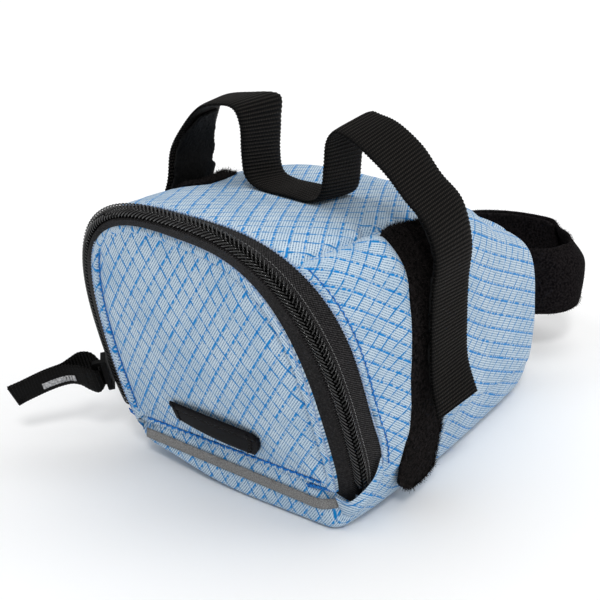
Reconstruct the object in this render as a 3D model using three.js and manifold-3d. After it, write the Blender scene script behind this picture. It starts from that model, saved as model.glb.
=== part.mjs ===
// Bicycle saddle bag: a wedge-shaped cloth bag with a zip-open rear flap, a webbing strap for the saddle rails
// and a strap for the seat post. Millimetres, +Z up, +Y towards the nose, +X right as seen from the rear.
// The origin is the middle of the flat base.
import * as THREE from "three";
import { mergeGeometries, mergeVertices } from "three/addons/utils/BufferGeometryUtils.js";
import Module from "manifold-3d";

const wasm = await Module();
wasm.setup();

// Thicknesses and the clearance between neighbours
const GAP = 0.3;
const BODY_CLOTH = 1.6;
const FLAP_CLOTH = 1.8;
const TAPE = 1.0;
const WEBBING = 1.6;
const RIBBON = 1.0;
const LOOP_TAPE = 2.0;
const HOOK_TAPE = 1.2;
const REFLECTIVE = 1.0;

// Zipper: a coil along the rim, with a tape on each side of it
// The coil's section is given as shares of its half width: its flat top from rib to top, and its foot
const COIL = { wide: 5.4, thick: 2.8, turn: 48, groove: 0.5, rib: 0.2, top: 0.7, foot: 0.6 };
const TAPE_OUTER_WIDE = 8.8;
const FOOT_CURVE = 14;
const ZIP_START = 1.9;
const RIM_STEPS = 36;
const RIM_FINE_STEPS = 400;

// Inner edge of the flap's tape, one row for each sixth of the rim from the left foot to the right foot: how far
// it lies inside the rim and behind the rim plane
const TAPE_INNER = [
  { inset: 6.6, back: 5.7 },
  { inset: 6.6, back: 5.7 },
  { inset: 4.2, back: 0.3 },
  { inset: 8.2, back: -1.6 },
  { inset: 8.4, back: 2.2 },
  { inset: 7.4, back: 5.7 },
  { inset: 7.4, back: 5.7 },
];

// Body: one row for each cross-section. low and high are its Y at the base and at the top, top is its height,
// wide the largest half width, waist the height of that, flat the half width that lies on the ground, and
// arch and heel the roundness of its upper and lower curves.
const BODY_ROWS = [
  { low: -46.3, high: -81.7, top: 100, wide: 51.4, waist: 29.4, flat: 39, arch: 2.86, heel: 2 },
  { low: -38, high: -58, top: 96.5, wide: 52.5, waist: 36, flat: 38, arch: 3.6, heel: 2.1 },
  { low: -28, high: -32, top: 92.4, wide: 52, waist: 42, flat: 37, arch: 4.4, heel: 2.2 },
  { low: -8, high: -8, top: 90.2, wide: 49.5, waist: 42, flat: 36, arch: 5.2, heel: 2.2 },
  { low: 18, high: 18, top: 86.4, wide: 44.5, waist: 38, flat: 33, arch: 5.2, heel: 2.2 },
  { low: 41, high: 40, top: 76, wide: 40.4, waist: 34, flat: 29, arch: 4.2, heel: 2.2 },
  { low: 62, high: 60, top: 67, wide: 36.4, waist: 31, flat: 25, arch: 3.8, heel: 2.2 },
];
const STATIONS_PER_ROW = 3;

// Nose: its length, the height of its tip, its roundness sideways and upwards, and how much its sides and its top
// go on narrowing
const NOSE = { round: 20, middle: 33, powerSide: 4, powerUp: 2.2, taperSide: 0.16, taperUp: 0.22, rings: 6 };

// Dents of the two sides: a smooth push inwards by depth, that fades out at reach in each direction
const SIDE_DENTS = [
  { y: -26, z: 86, reachY: 12, reachZ: 9, depth: 3.5 },
  { y: -19, z: 62, reachY: 9, reachZ: 30, depth: 1.5 },
];
const SIDE_DENT_FROM = { none: 20, full: 40 };

// The rear left corner of the base is tucked up and in a little
const CORNER = { x: -50, y: -50, reachX: 46, reachY: 26, lift: 7, inward: 4.5, fadeOut: 12 };

// Columns of the cloth from the middle of the top round to the middle of the base, for one side
const COLUMNS = { arch: 9, heel: 5, flat: 2 };
const FOOT_COLUMN = COLUMNS.arch + 2;
const FOOT_STEPS = [0.2, 0.5];

// Lower lip of the rear: Y of its foot on the ground, and its rings from the rim plane to the seam, with the share
// of the way to the rear and up to the seam
const LIP_FOOT = -57.5;
const LIP_RINGS = [
  { depth: 0.5, share: 0 },
  { depth: 0.88, share: 0.05 },
  { depth: 1, share: 0.2 },
  { depth: 1, share: 0.6 },
  { depth: 1, share: 1 },
];
const SEAM = { up: 5, back: 5, steps: 10 };

// Rear flap: how far its middle stands behind the rim plane, where that middle is, and its rings
const FLAP = { crown: 8, middleUp: 40, rings: 6, dome: 2 };

// Light loop on the flap: half length, half width, slant of its ends, place of its middle, rise of its right half
// and stand-off in the middle
const LIGHT_LOOP = { half: 16, halfWide: 4.4, slant: 2.4, x: 0.8, up: 18.6, rise: 1.8, bow: 1, steps: 10 };

// Reflective strip on the lower lip: its ends, its two edges at the right end and the rise of its left end
const STRIP = { left: -36.5, right: 40.5, low: 6, high: 10.2, rise: 2.4, steps: 12 };

// Rail strap: where its rear edge and front edge run, and its path from the left end to the right end as seen
// from the rear. drop and lean are how far down and to the right the front edge lies from the rear edge.
const STRAP = { rear: -30, front: -11, sewn: 11 };
const STRAP_PATH = [
  { x: -60.5, z: 36, drop: 0, lean: 0 },
  { x: -58, z: 48, drop: 0, lean: 0 },
  { x: -57, z: 62, drop: 0, lean: 0 },
  { x: -54.8, z: 76, drop: 0, lean: 0 },
  { x: -48.6, z: 88, drop: 0.5, lean: 0 },
  { x: -46, z: 99, drop: 1, lean: -0.5 },
  { x: -41, z: 108, drop: 1, lean: -3 },
  { x: -35, z: 114.2, drop: 1, lean: -5 },
  { x: -27, z: 118.4, drop: 1.2, lean: -3.5 },
  { x: -20.8, z: 118.4, drop: 1.2, lean: 2.5 },
  { x: -17.6, z: 113, drop: 2, lean: 1 },
  { x: -17, z: 104, drop: 3, lean: 0 },
  { x: -15.6, z: 97, drop: 3.2, lean: 0 },
  { x: -10, z: 94.2, drop: 3, lean: 0 },
  { x: 0, z: 94.2, drop: 3, lean: 0 },
  { x: 9, z: 94.2, drop: 3, lean: 0 },
  { x: 13.6, z: 97.6, drop: 3, lean: 0 },
  { x: 14.8, z: 106, drop: 2, lean: 0 },
  { x: 15.6, z: 114, drop: 1, lean: 0 },
  { x: 18.5, z: 118, drop: 0.6, lean: 0 },
  { x: 23, z: 118, drop: 0, lean: 0 },
  { x: 30, z: 114.8, drop: -1, lean: 0 },
  { x: 39, z: 109, drop: -1, lean: 0 },
  { x: 46, z: 102.6, drop: -0.8, lean: 0 },
  { x: 53, z: 94.2, drop: -0.5, lean: 0 },
  { x: 57, z: 85, drop: 0, lean: 0 },
  { x: 57.6, z: 74, drop: 0, lean: 0 },
  { x: 57.6, z: 60, drop: 0, lean: 0 },
  { x: 58.4, z: 47, drop: 0, lean: 0 },
  { x: 60.5, z: 36, drop: 0, lean: 0 },
];
const STRAP_STEPS = 2;
const HOOK_PATCH = { inset: 1, from: 0.4, to: 6.6, steps: 12 };

// Loop bands on the two sides
const BAND = { rear: -32, front: -12, firstColumn: 3.2, lastColumn: 12.3, steps: 14, across: 3, clear: 0.45 };

// Post strap: its two edges, and its path seen from above, which overlaps itself in front. ahead is the distance
// from the nose's tip, droop how much lower the upper edge lies.
const POST_STRAP = { low: 20, high: 44.4 };
const POST_PATH = [
  { x: -13, ahead: 40.6, droop: 4 },
  { x: -3, ahead: 44, droop: 5 },
  { x: 9, ahead: 44.2, droop: 5.5 },
  { x: 19.6, ahead: 39.4, droop: 5.5 },
  { x: 27.4, ahead: 31, droop: 4 },
  { x: 30, ahead: 22, droop: 2 },
  { x: 27, ahead: 14, droop: 0.4 },
  { x: 19, ahead: 7.5, droop: 0 },
  { x: 11, ahead: 2.4, droop: 0 },
  { x: 0, ahead: 0.4, droop: 0 },
  { x: -11, ahead: 2.4, droop: 0 },
  { x: -19, ahead: 7.5, droop: 0 },
  { x: -25.5, ahead: 16, droop: 0.4 },
  { x: -28, ahead: 26, droop: 0.6 },
  { x: -23.6, ahead: 36.5, droop: 1 },
  { x: -13, ahead: 43.8, droop: 1.2 },
  { x: -3, ahead: 47.2, droop: 0.6 },
  { x: 7, ahead: 47.6, droop: 0 },
];
const POST_STEPS = 2;

// Zipper slider on the left foot of the rim: its distance from the zipper's end, its plate, and the plate's bridge
const SLIDER = { fromEnd: 15.5, long: 12, wide: 8.4, neck: 5.6, shoulder: 4, corner: 1.5, thick: 1.8 };
const BRIDGE = { long: 9.4, wide: 1.8, leg: 1.4, bar: 1.4, clear: 2.2, corner: 0.6 };

// Pull: a ribbon folded round the bridge's bar, seen along its width. aside is its outer face from the middle of
// the fold, out the distance from the bar, rise how far it bends up, and wide its width, less in the bridge.
const PULL_PATH = [
  { aside: -1.2, out: 31.5, rise: 1.6, wide: 9.6 },
  { aside: -1.2, out: 22, rise: 3, wide: 9.6 },
  { aside: -1.2, out: 10, rise: 2.6, wide: 9.6 },
  { aside: -1.7, out: 6, rise: 1.6, wide: 8.4 },
  { aside: -2.3, out: 2.5, rise: 0.4, wide: 6.4 },
  { aside: -2.3, out: 0, rise: 0, wide: 5.8 },
  { aside: -1.6, out: -1.6, rise: 0, wide: 5.8 },
  { aside: 0, out: -2.2, rise: 0, wide: 5.8 },
  { aside: 1.6, out: -1.6, rise: 0, wide: 5.8 },
  { aside: 2.3, out: 0, rise: 0, wide: 5.8 },
  { aside: 2.3, out: 2.5, rise: 0.4, wide: 6.4 },
  { aside: 1.7, out: 6, rise: 1.6, wide: 8.4 },
  { aside: 1.2, out: 10, rise: 2.6, wide: 9.6 },
  { aside: 1.2, out: 22, rise: 3, wide: 9.6 },
  { aside: 1.2, out: 31.5, rise: 1.6, wide: 9.6 },
];
const PULL_STEPS = 2;

const deg = THREE.MathUtils.degToRad;
const vec = (x, y, z) => new THREE.Vector3(x, y, z);
const mix = THREE.MathUtils.lerp;
const smooth = THREE.MathUtils.smoothstep;

// Value of one column of a table at a fractional row, on a smooth curve through the rows
function column(rows, name, at) {
  const last = rows.length - 1;
  const i = Math.min(Math.max(Math.floor(at), 0), last - 1);
  const value = (k) => rows[Math.min(Math.max(k, 0), last)][name];
  const f = at - i;
  const [a, b, c, d] = [value(i - 1), value(i), value(i + 1), value(i + 2)];
  const slope0 = (c - a) / 2;
  const slope1 = (d - b) / 2;
  const f2 = f * f;
  const f3 = f2 * f;
  return b * (2 * f3 - 3 * f2 + 1) + slope0 * (f3 - 2 * f2 + f) + c * (3 * f2 - 2 * f3) + slope1 * (f3 - f2);
}

// Outline of one cross-section: half width and height share at a column number, 0 at the top, growing downwards
function outline(row, col) {
  const waistShare = row.waist / row.top;
  if (col <= COLUMNS.arch) {
    const angle = deg(90 * (1 - col / COLUMNS.arch));
    const x = row.wide * Math.cos(angle) ** (2 / row.arch);
    return { x, share: waistShare + (1 - waistShare) * Math.sin(angle) ** (2 / row.arch) };
  }
  const below = col - COLUMNS.arch;
  if (below <= COLUMNS.heel) {
    const angle = deg((90 * below) / COLUMNS.heel);
    const x = row.flat + (row.wide - row.flat) * Math.max(Math.cos(angle), 0) ** (2 / row.heel);
    return { x, share: waistShare * (1 - Math.sin(angle) ** (2 / row.heel)) };
  }
  return { x: row.flat * (1 - (below - COLUMNS.heel) / COLUMNS.flat), share: 0 };
}

// A bump of height 1 that fades out smoothly and ends at 1.5 times its reach
const bump = (a, b) => Math.max(1 - (a * a + b * b) / 1.5 ** 2, 0) ** 4;

// Push a point of the cloth inwards by the dents it lies in, and lift the tucked corner
function dented(p) {
  const side = Math.sign(p.x) * smooth(Math.abs(p.x), SIDE_DENT_FROM.none, SIDE_DENT_FROM.full);
  for (const dent of SIDE_DENTS) {
    p.x -= side * dent.depth * bump((p.y - dent.y) / dent.reachY, (p.z - dent.z) / dent.reachZ);
  }
  const fade = 1 - smooth(p.z, 0, CORNER.fadeOut);
  const corner = fade * bump((p.x - CORNER.x) / CORNER.reachX, (p.y - CORNER.y) / CORNER.reachY);
  p.x += CORNER.inward * corner;
  p.z += CORNER.lift * corner;
  return p;
}

// Point of the body's outer surface at a fractional row and a column, negative columns on the left
function bodyPoint(at, col) {
  const row = {};
  for (const name of Object.keys(BODY_ROWS[0])) row[name] = column(BODY_ROWS, name, at);
  const { x, share } = outline(row, Math.abs(col));
  const y = mix(row.low, row.high, share);
  return dented(vec(col < 0 ? -x : x, y, row.top * share));
}

// Point of the rounded nose: the last cross-section drawn together to the tip
function nosePoint(turn, col) {
  const { low, high } = BODY_ROWS.at(-1);
  const p = bodyPoint(BODY_ROWS.length - 1, col);
  const angle = deg(90 * turn);
  const cos = Math.max(Math.cos(angle), 0);
  const taperUp = p.z > NOSE.middle ? 1 - NOSE.taperUp * Math.sin(angle) : 1;
  const up = taperUp * cos ** (2 / NOSE.powerUp);
  const side = (1 - NOSE.taperSide * Math.sin(angle)) * cos ** (2 / NOSE.powerSide);
  p.x *= turn === 1 ? 0 : side;
  p.z = NOSE.middle + (p.z - NOSE.middle) * up;
  p.y = mix(p.y, (low + high) / 2, turn) + NOSE.round * Math.sin(angle);
  return p;
}

// A surface of quads from rows of points
function gridSurface(rows) {
  const points = [];
  for (let i = 0; i + 1 < rows.length; i++) {
    for (let j = 0; j + 1 < rows[i].length; j++) {
      const [a, b, c, d] = [rows[i][j], rows[i][j + 1], rows[i + 1][j + 1], rows[i + 1][j]];
      points.push(a, b, c, a, c, d);
    }
  }
  return new THREE.BufferGeometry().setFromPoints(points);
}

// One closed body from open surfaces that share their edges: the surface, a copy of it moved inwards by its
// thickness, and a strip along each free edge
function thicken(surfaces, thick) {
  const skin = mergeVertices(mergeGeometries(surfaces), 1e-3);
  const at = skin.getAttribute("position");
  const point = (i) => new THREE.Vector3().fromBufferAttribute(at, i);
  const faces = [];
  for (let i = 0; i < skin.index.count; i += 3) {
    const face = [0, 1, 2].map((k) => skin.index.getX(i + k));
    if (new Set(face).size === 3) faces.push(face);
  }
  const normals = Array.from({ length: at.count }, () => vec(0, 0, 0));
  for (const [a, b, c] of faces) {
    const normal = point(b).sub(point(a)).cross(point(c).sub(point(a)));
    for (const i of [a, b, c]) normals[i].add(normal);
  }
  const outer = normals.map((_, i) => point(i));
  const inner = normals.map((n, i) => point(i).addScaledVector(n.normalize(), -thick));
  const edges = new Map();
  const triangles = [];
  for (const face of faces) {
    const [a, b, c] = face;
    triangles.push(outer[a], outer[b], outer[c], inner[a], inner[c], inner[b]);
    for (const [i, j] of [[a, b], [b, c], [c, a]]) {
      if (edges.has(`${j},${i}`)) edges.delete(`${j},${i}`);
      else edges.set(`${i},${j}`, [i, j]);
    }
  }
  for (const [i, j] of edges.values()) {
    triangles.push(outer[j], outer[i], inner[i], outer[j], inner[i], inner[j]);
  }
  return new THREE.BufferGeometry().setFromPoints(triangles);
}

// A smooth path through the rows of a table, with some steps from each row to the next
function pathRows(rows, steps) {
  const path = [];
  const names = Object.keys(rows[0]);
  for (let i = 0; i <= (rows.length - 1) * steps; i++) {
    const row = {};
    for (const name of names) row[name] = column(rows, name, i / steps);
    path.push(row);
  }
  return path;
}

// Numbers from low to high in equal steps
function spread(low, high, steps) {
  return Array.from({ length: steps + 1 }, (_, i) => mix(low, high, i / steps));
}

// Frame of the rear: a point at x across, up along the rim plane from the rim's feet, and back behind that plane
const RIM_ROW = BODY_ROWS[0];
const RIM_TILT = Math.atan2(RIM_ROW.low - RIM_ROW.high, RIM_ROW.top);
const RIM_FOOT = bodyPoint(0, FOOT_COLUMN);

function rearPoint(x, up, back) {
  const y = RIM_FOOT.y - up * Math.sin(RIM_TILT) - back * Math.cos(RIM_TILT);
  return vec(x, y, RIM_FOOT.z + up * Math.cos(RIM_TILT) - back * Math.sin(RIM_TILT));
}

// The rim from the zipper's left end over the top to its right end, in equal steps: each place has its point
// across and up, the direction out of the arch, and t from 0 at the left end to 1 at the right end
function rimPlaces(count) {
  const dense = [];
  for (const col of spread(-FOOT_COLUMN, FOOT_COLUMN, RIM_FINE_STEPS)) {
    const { x, share } = outline(RIM_ROW, Math.abs(col));
    const z = RIM_ROW.top * share;
    dense.push(new THREE.Vector3(col < 0 ? -x : x, (z - RIM_FOOT.z) / Math.cos(RIM_TILT), 0));
  }
  const length = [0];
  for (let i = 1; i < dense.length; i++) length.push(length[i - 1] + dense[i].distanceTo(dense[i - 1]));
  const [start, end] = [ZIP_START, length.at(-1) - ZIP_START];
  const places = [];
  let k = 0;
  for (const want of spread(start, end, count)) {
    while (k < dense.length - 2 && length[k + 1] < want) k++;
    const f = (want - length[k]) / (length[k + 1] - length[k]);
    const p = dense[k].clone().lerp(dense[k + 1], f);
    const along = dense[k + 1].clone().sub(dense[k]).normalize();
    places.push({ x: p.x, up: p.y, outX: -along.y, outUp: along.x, t: (want - start) / (end - start) });
  }
  return places;
}

// Inner edge of the flap's tape beside a place of the rim
function flapEdge(place) {
  const at = place.t * (TAPE_INNER.length - 1);
  const inset = column(TAPE_INNER, "inset", at);
  const back = column(TAPE_INNER, "back", at);
  return { x: place.x - inset * place.outX, up: Math.max(place.up - inset * place.outUp, SEAM.up), back };
}

// Share of the outer tape's full width on one column: the tape's ends round off towards the rim's feet
function tapeShare(col) {
  const rise = (outline(RIM_ROW, Math.abs(col)).share * RIM_ROW.top - RIM_FOOT.z) / FOOT_CURVE;
  const t = Math.min(Math.max(rise, 0), 1);
  return Math.sqrt(1 - (1 - t) ** 2);
}

// Row number of the body's surface at a distance from the rim, on one column
function rowAtDistance(distance, col) {
  const start = bodyPoint(0, col);
  let low = 0;
  let high = 2;
  for (let i = 0; i < 30; i++) {
    const middle = (low + high) / 2;
    if (bodyPoint(middle, col).distanceTo(start) < distance) low = middle;
    else high = middle;
  }
  return low;
}

// Row number of the body's surface where it reaches a given Y, on one column
function rowAtY(y, col) {
  let low = 0;
  let high = BODY_ROWS.length - 1;
  for (let i = 0; i < 40; i++) {
    const middle = (low + high) / 2;
    if (bodyPoint(middle, col).y < y) low = middle;
    else high = middle;
  }
  return low;
}

// Row number where the body's cloth begins on one column: at the rim below its feet, behind the tape above them
function clothStart(col) {
  if (Math.abs(col) >= FOOT_COLUMN) return 0;
  return rowAtDistance(TAPE_OUTER_WIDE * tapeShare(col) + GAP, col);
}

// Columns of the whole way round, closer together just above the rim's feet
function ringColumns() {
  const last = COLUMNS.arch + COLUMNS.heel + COLUMNS.flat;
  const near = FOOT_STEPS.flatMap((step) => [step - FOOT_COLUMN, FOOT_COLUMN - step]);
  return [...spread(-last, last, 2 * last), ...near].sort((a, b) => a - b);
}

function bodyShell() {
  const ring = ringColumns();
  const stations = (BODY_ROWS.length - 1) * STATIONS_PER_ROW;
  const rows = [];
  for (let i = 0; i <= stations; i++) {
    rows.push(ring.map((col) => {
      const start = clothStart(col);
      return bodyPoint(mix(start, BODY_ROWS.length - 1, i / stations), col);
    }));
  }
  for (let i = 1; i <= NOSE.rings; i++) rows.push(ring.map((col) => nosePoint(i / NOSE.rings, col)));
  return thicken([gridSurface(rows), lipSurface(ring)], BODY_CLOTH);
}

// Lower lip: closes the rear below the flap's seam, from the base and its two corners
function lipSurface(ring) {
  const low = ring.filter((col) => col >= FOOT_COLUMN);
  const arc = [...low, ...low.slice(0, -1).reverse().map((col) => -col)];
  const feet = [-1, 1].map((side) => side * (RIM_FOOT.x - TAPE_INNER.at(side > 0 ? -1 : 0).inset));
  const rows = [arc.map((col) => bodyPoint(0, col))];
  for (const lipRing of LIP_RINGS) {
    rows.push(arc.map((col, j) => {
      const edge = bodyPoint(0, col);
      const seam = rearPoint(mix(feet[1], feet[0], j / (arc.length - 1)), SEAM.up - 2 * GAP, SEAM.back);
      const p = edge.clone().lerp(seam, lipRing.share);
      const full = smooth(Math.abs(col), FOOT_COLUMN, FOOT_COLUMN + 2);
      p.y = mix(p.y, mix(edge.y, lipY(p.z), lipRing.depth), full);
      return p;
    }));
  }
  return gridSurface(rows.reverse());
}

// Y of the lip's outer face at a height
function lipY(z) {
  const seam = rearPoint(0, SEAM.up, SEAM.back);
  return mix(LIP_FOOT, seam.y, z / seam.z);
}

function tapeOuter() {
  const columns = ringColumns().filter((col) => Math.abs(col) < FOOT_COLUMN - FOOT_STEPS[0]);
  const near = COIL.wide / 2 + GAP;
  const rows = [];
  for (const share of [0, 0.5, 1]) {
    rows.push(columns.map((col) => {
      const far = TAPE_OUTER_WIDE * tapeShare(col);
      return bodyPoint(rowAtDistance(mix(near, far, share), col), col);
    }));
  }
  return thicken([gridSurface(rows)], TAPE);
}

// The coil's section turns round the rim: its inner side faces the flap, its outer side the body
function coilSection() {
  const half = COIL.wide / 2;
  const rise = COIL.thick / 2;
  return [
    { across: -half * COIL.foot, lift: -rise },
    { across: half * COIL.foot, lift: -rise },
    { across: half, lift: 0 },
    { across: half * COIL.top, lift: rise },
    { across: half * COIL.rib, lift: rise },
    { across: 0, lift: rise - COIL.groove },
    { across: -half * COIL.rib, lift: rise },
    { across: -half * COIL.top, lift: rise },
    { across: -half, lift: 0 },
  ];
}

// Point near the rim, across its coil and lifted off it
function coilPoint(place, across, lift) {
  const turn = deg(COIL.turn);
  const out = across * Math.cos(turn) + lift * Math.sin(turn);
  const back = -across * Math.sin(turn) + lift * Math.cos(turn);
  return rearPoint(place.x + out * place.outX, place.up + out * place.outUp, back);
}

// A closed body swept through rows of ring points, with flat ends
function sweep(rings) {
  const rows = rings.map((ring) => [...ring, ring[0]]);
  const middle = (ring) => ring.reduce((sum, p) => sum.add(p), vec(0, 0, 0)).divideScalar(ring.length);
  const first = middle(rings[0]);
  const last = middle(rings.at(-1));
  rows.unshift(rows[0].map(() => first));
  rows.push(rows.at(-1).map(() => last));
  const skin = gridSurface(rows);
  const merged = mergeVertices(skin, 1e-3);
  const at = merged.getAttribute("position");
  const points = [];
  for (let i = 0; i < merged.index.count; i += 3) {
    const face = [0, 1, 2].map((k) => merged.index.getX(i + k));
    if (new Set(face).size < 3) continue;
    for (const k of face) points.push(new THREE.Vector3().fromBufferAttribute(at, k));
  }
  return new THREE.BufferGeometry().setFromPoints(points);
}

function zipperCoil() {
  const section = coilSection();
  return sweep(rimPlaces(RIM_STEPS).map((place) => section.map((s) => coilPoint(place, s.across, s.lift))));
}

function tapeInner() {
  const places = rimPlaces(RIM_STEPS);
  const rows = [];
  for (const share of [0, 0.5, 1]) {
    rows.push(places.map((place) => {
      const start = coilPoint(place, -COIL.wide / 2 - GAP - TAPE, 0);
      const edge = flapEdge(place);
      return start.lerp(rearPoint(edge.x, edge.up, edge.back), share);
    }));
  }
  return thicken([gridSurface(rows.reverse())], TAPE);
}

// Edge of the flap's cloth: inside the tape, and along the seam at the bottom
function flapOutline() {
  const arch = rimPlaces(RIM_STEPS).map((place) => {
    const edge = flapEdge(place);
    return { x: edge.x - GAP * place.outX, up: edge.up - GAP * Math.max(place.outUp, 0), back: edge.back };
  });
  const [left, right] = [arch[0], arch.at(-1)];
  const between = spread(right.x, left.x, SEAM.steps).slice(1, -1);
  const seam = between.map((x) => ({ x, up: SEAM.up, back: SEAM.back }));
  return [...arch, ...seam, arch[0]];
}

// Point of the flap on the ray from its middle to a place of its edge
function flapPoint(edge, share) {
  const x = edge.x * share;
  const up = mix(FLAP.middleUp, edge.up, share);
  return rearPoint(x, up, mix(FLAP.crown, edge.back, share ** FLAP.dome));
}

function rearPanel() {
  const edge = flapOutline();
  const rows = spread(1, 0, FLAP.rings).map((share) => edge.map((place) => flapPoint(place, share)));
  return thicken([gridSurface(rows)], FLAP_CLOTH);
}

// How far the flap stands behind the rim plane at a place across and up
function flapBack(x, up) {
  const edge = flapOutline();
  const rise = up - FLAP.middleUp;
  for (let i = 0; i + 1 < edge.length; i++) {
    const [a, b] = [edge[i], edge[i + 1]];
    const [ax, au, bx, bu] = [a.x, a.up - FLAP.middleUp, b.x, b.up - FLAP.middleUp];
    const turn = ax * bu - au * bx;
    const f = (ax * rise - au * x) / (x * (au - bu) - rise * (ax - bx));
    const along = ax * x + au * rise;
    if (Math.abs(turn) < 1e-6 || !(f >= 0 && f <= 1) || along <= 0) continue;
    const share = Math.hypot(x, rise) / Math.hypot(mix(ax, bx, f), mix(au, bu, f));
    return mix(FLAP.crown, mix(a.back, b.back, f), share ** FLAP.dome);
  }
  return FLAP.crown;
}

// Light loop: sewn down at its two slanted ends, bowed off the flap between them
function lightLoop() {
  const { half, halfWide, slant, bow } = LIGHT_LOOP;
  const rows = spread(-half, half, LIGHT_LOOP.steps).map((along) => {
    const middleUp = LIGHT_LOOP.up + (LIGHT_LOOP.rise * along) / half;
    const places = [-1, 0, 1].map((side) => [LIGHT_LOOP.x + along - side * slant, middleUp + side * halfWide]);
    const seat = Math.max(...places.map(([x, up]) => flapBack(x, up)));
    const back = seat + 2 * GAP + WEBBING + bow * smooth(half - Math.abs(along), half / 4, half);
    return places.map(([x, up]) => rearPoint(x, up, back));
  });
  return thicken([gridSurface(rows)], WEBBING);
}

function reflectiveStrip() {
  const rows = spread(STRIP.left, STRIP.right, STRIP.steps).map((x) => {
    const rise = (STRIP.rise * (STRIP.right - x)) / (STRIP.right - STRIP.left);
    return [STRIP.high + rise, STRIP.low + rise].map((z) => vec(x, lipY(z) - GAP - REFLECTIVE, z));
  });
  return thicken([gridSurface(rows)], REFLECTIVE);
}

// Height of the top of the body at a place
function topHeight(x, y) {
  let col = 0;
  for (let i = 0; i < 6; i++) {
    const at = rowAtY(y, col);
    const share = Math.min(Math.abs(x) / column(BODY_ROWS, "wide", at), 1);
    const angle = Math.acos(share ** (column(BODY_ROWS, "arch", at) / 2));
    col = COLUMNS.arch * (1 - angle / (Math.PI / 2));
  }
  return bodyPoint(rowAtY(y, col), col).z;
}

// Rail strap's outer face: the path seen from the rear, moved inwards by a depth, at a share from its rear edge
// to its front edge
function strapPoint(at, share, depth) {
  const place = (k) => vec(column(STRAP_PATH, "x", k), 0, column(STRAP_PATH, "z", k));
  const last = STRAP_PATH.length - 1;
  const step = 0.05;
  const along = place(Math.min(at + step, last)).sub(place(Math.max(at - step, 0))).normalize();
  const p = place(at);
  const y = mix(STRAP.rear, STRAP.front, share);
  p.x += column(STRAP_PATH, "lean", at) * share;
  p.z -= column(STRAP_PATH, "drop", at) * share;
  if (Math.abs(p.x) < STRAP.sewn) p.z = Math.max(p.z, topHeight(p.x, y) + GAP + WEBBING);
  return vec(p.x + depth * along.z, y, p.z - depth * along.x);
}

function strapRows(from, to, steps, inset, depth) {
  const width = STRAP.front - STRAP.rear;
  const shares = [inset / width, 0.5, 1 - inset / width];
  return spread(from, to, steps).map((at) => shares.map((share) => strapPoint(at, share, depth)));
}

function railStrap() {
  const last = STRAP_PATH.length - 1;
  return thicken([gridSurface(strapRows(0, last, last * STRAP_STEPS, 0, 0))], WEBBING);
}

// Hook tape on the inner face of one end of the strap
function hookPatch(from, to) {
  const rows = strapRows(from, to, HOOK_PATCH.steps, HOOK_PATCH.inset, WEBBING + GAP);
  return thicken([gridSurface(rows)], HOOK_TAPE);
}

// Outward direction of the body's surface
function bodyNormal(at, col) {
  const step = 0.02;
  const along = bodyPoint(at + step, col).sub(bodyPoint(at - step, col));
  const down = bodyPoint(at, col + step).sub(bodyPoint(at, col - step));
  return down.cross(along).normalize();
}

// Loop band on one side of the body, from the fold of the top down to the base
function loopBand(side) {
  const rows = spread(BAND.firstColumn, BAND.lastColumn, BAND.steps).map((col) =>
    spread(BAND.rear, BAND.front, BAND.across).map((y) => {
      const at = rowAtY(y, side * col);
      const normal = bodyNormal(at, side * col);
      return bodyPoint(at, side * col).addScaledVector(normal, BAND.clear + LOOP_TAPE);
    }),
  );
  return thicken([gridSurface(side > 0 ? rows.reverse() : rows)], LOOP_TAPE);
}

function postStrap() {
  const tip = nosePoint(1, COLUMNS.arch).y;
  const rows = pathRows(POST_PATH, POST_STEPS).map((p) => {
    const y = tip + p.ahead;
    return [vec(p.x, y, POST_STRAP.low), vec(p.x, y, POST_STRAP.high - p.droop)];
  });
  return thicken([gridSurface(rows)], LOOP_TAPE);
}

// A closed three.js geometry as a solid that can be joined, and back
function solid(geometry) {
  const bare = geometry.index ? geometry.toNonIndexed() : geometry.clone();
  bare.deleteAttribute("normal");
  bare.deleteAttribute("uv");
  const merged = mergeVertices(bare, 1e-3);
  const vertProperties = merged.getAttribute("position").array;
  return new wasm.Manifold(new wasm.Mesh({ numProp: 3, vertProperties, triVerts: merged.index.array }));
}

function geometryOf(made) {
  const mesh = made.getMesh();
  const geometry = new THREE.BufferGeometry();
  geometry.setAttribute("position", new THREE.BufferAttribute(mesh.vertProperties, 3));
  geometry.setIndex(new THREE.BufferAttribute(mesh.triVerts, 1));
  return geometry.toNonIndexed();
}

// Frame of the slider: across the coil, down along the rim and out of it, with its origin on the coil's outer face
function sliderFrame() {
  const places = rimPlaces(RIM_FINE_STEPS);
  let k = 1;
  while (rimLength(places.slice(0, k + 1)) < SLIDER.fromEnd) k++;
  const middle = coilPoint(places[k], 0, 0);
  const origin = coilPoint(places[k], 0, COIL.thick / 2 + GAP);
  const across = coilPoint(places[k], 1, 0).sub(middle).normalize();
  const out = coilPoint(places[k], 0, 1).sub(middle).normalize();
  const along = out.clone().cross(across);
  return new THREE.Matrix4().makeBasis(across, along, out).setPosition(origin);
}

function rimLength(places) {
  let length = 0;
  for (let i = 1; i < places.length; i++) {
    length += Math.hypot(places[i].x - places[i - 1].x, places[i].up - places[i - 1].up);
  }
  return length;
}

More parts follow.
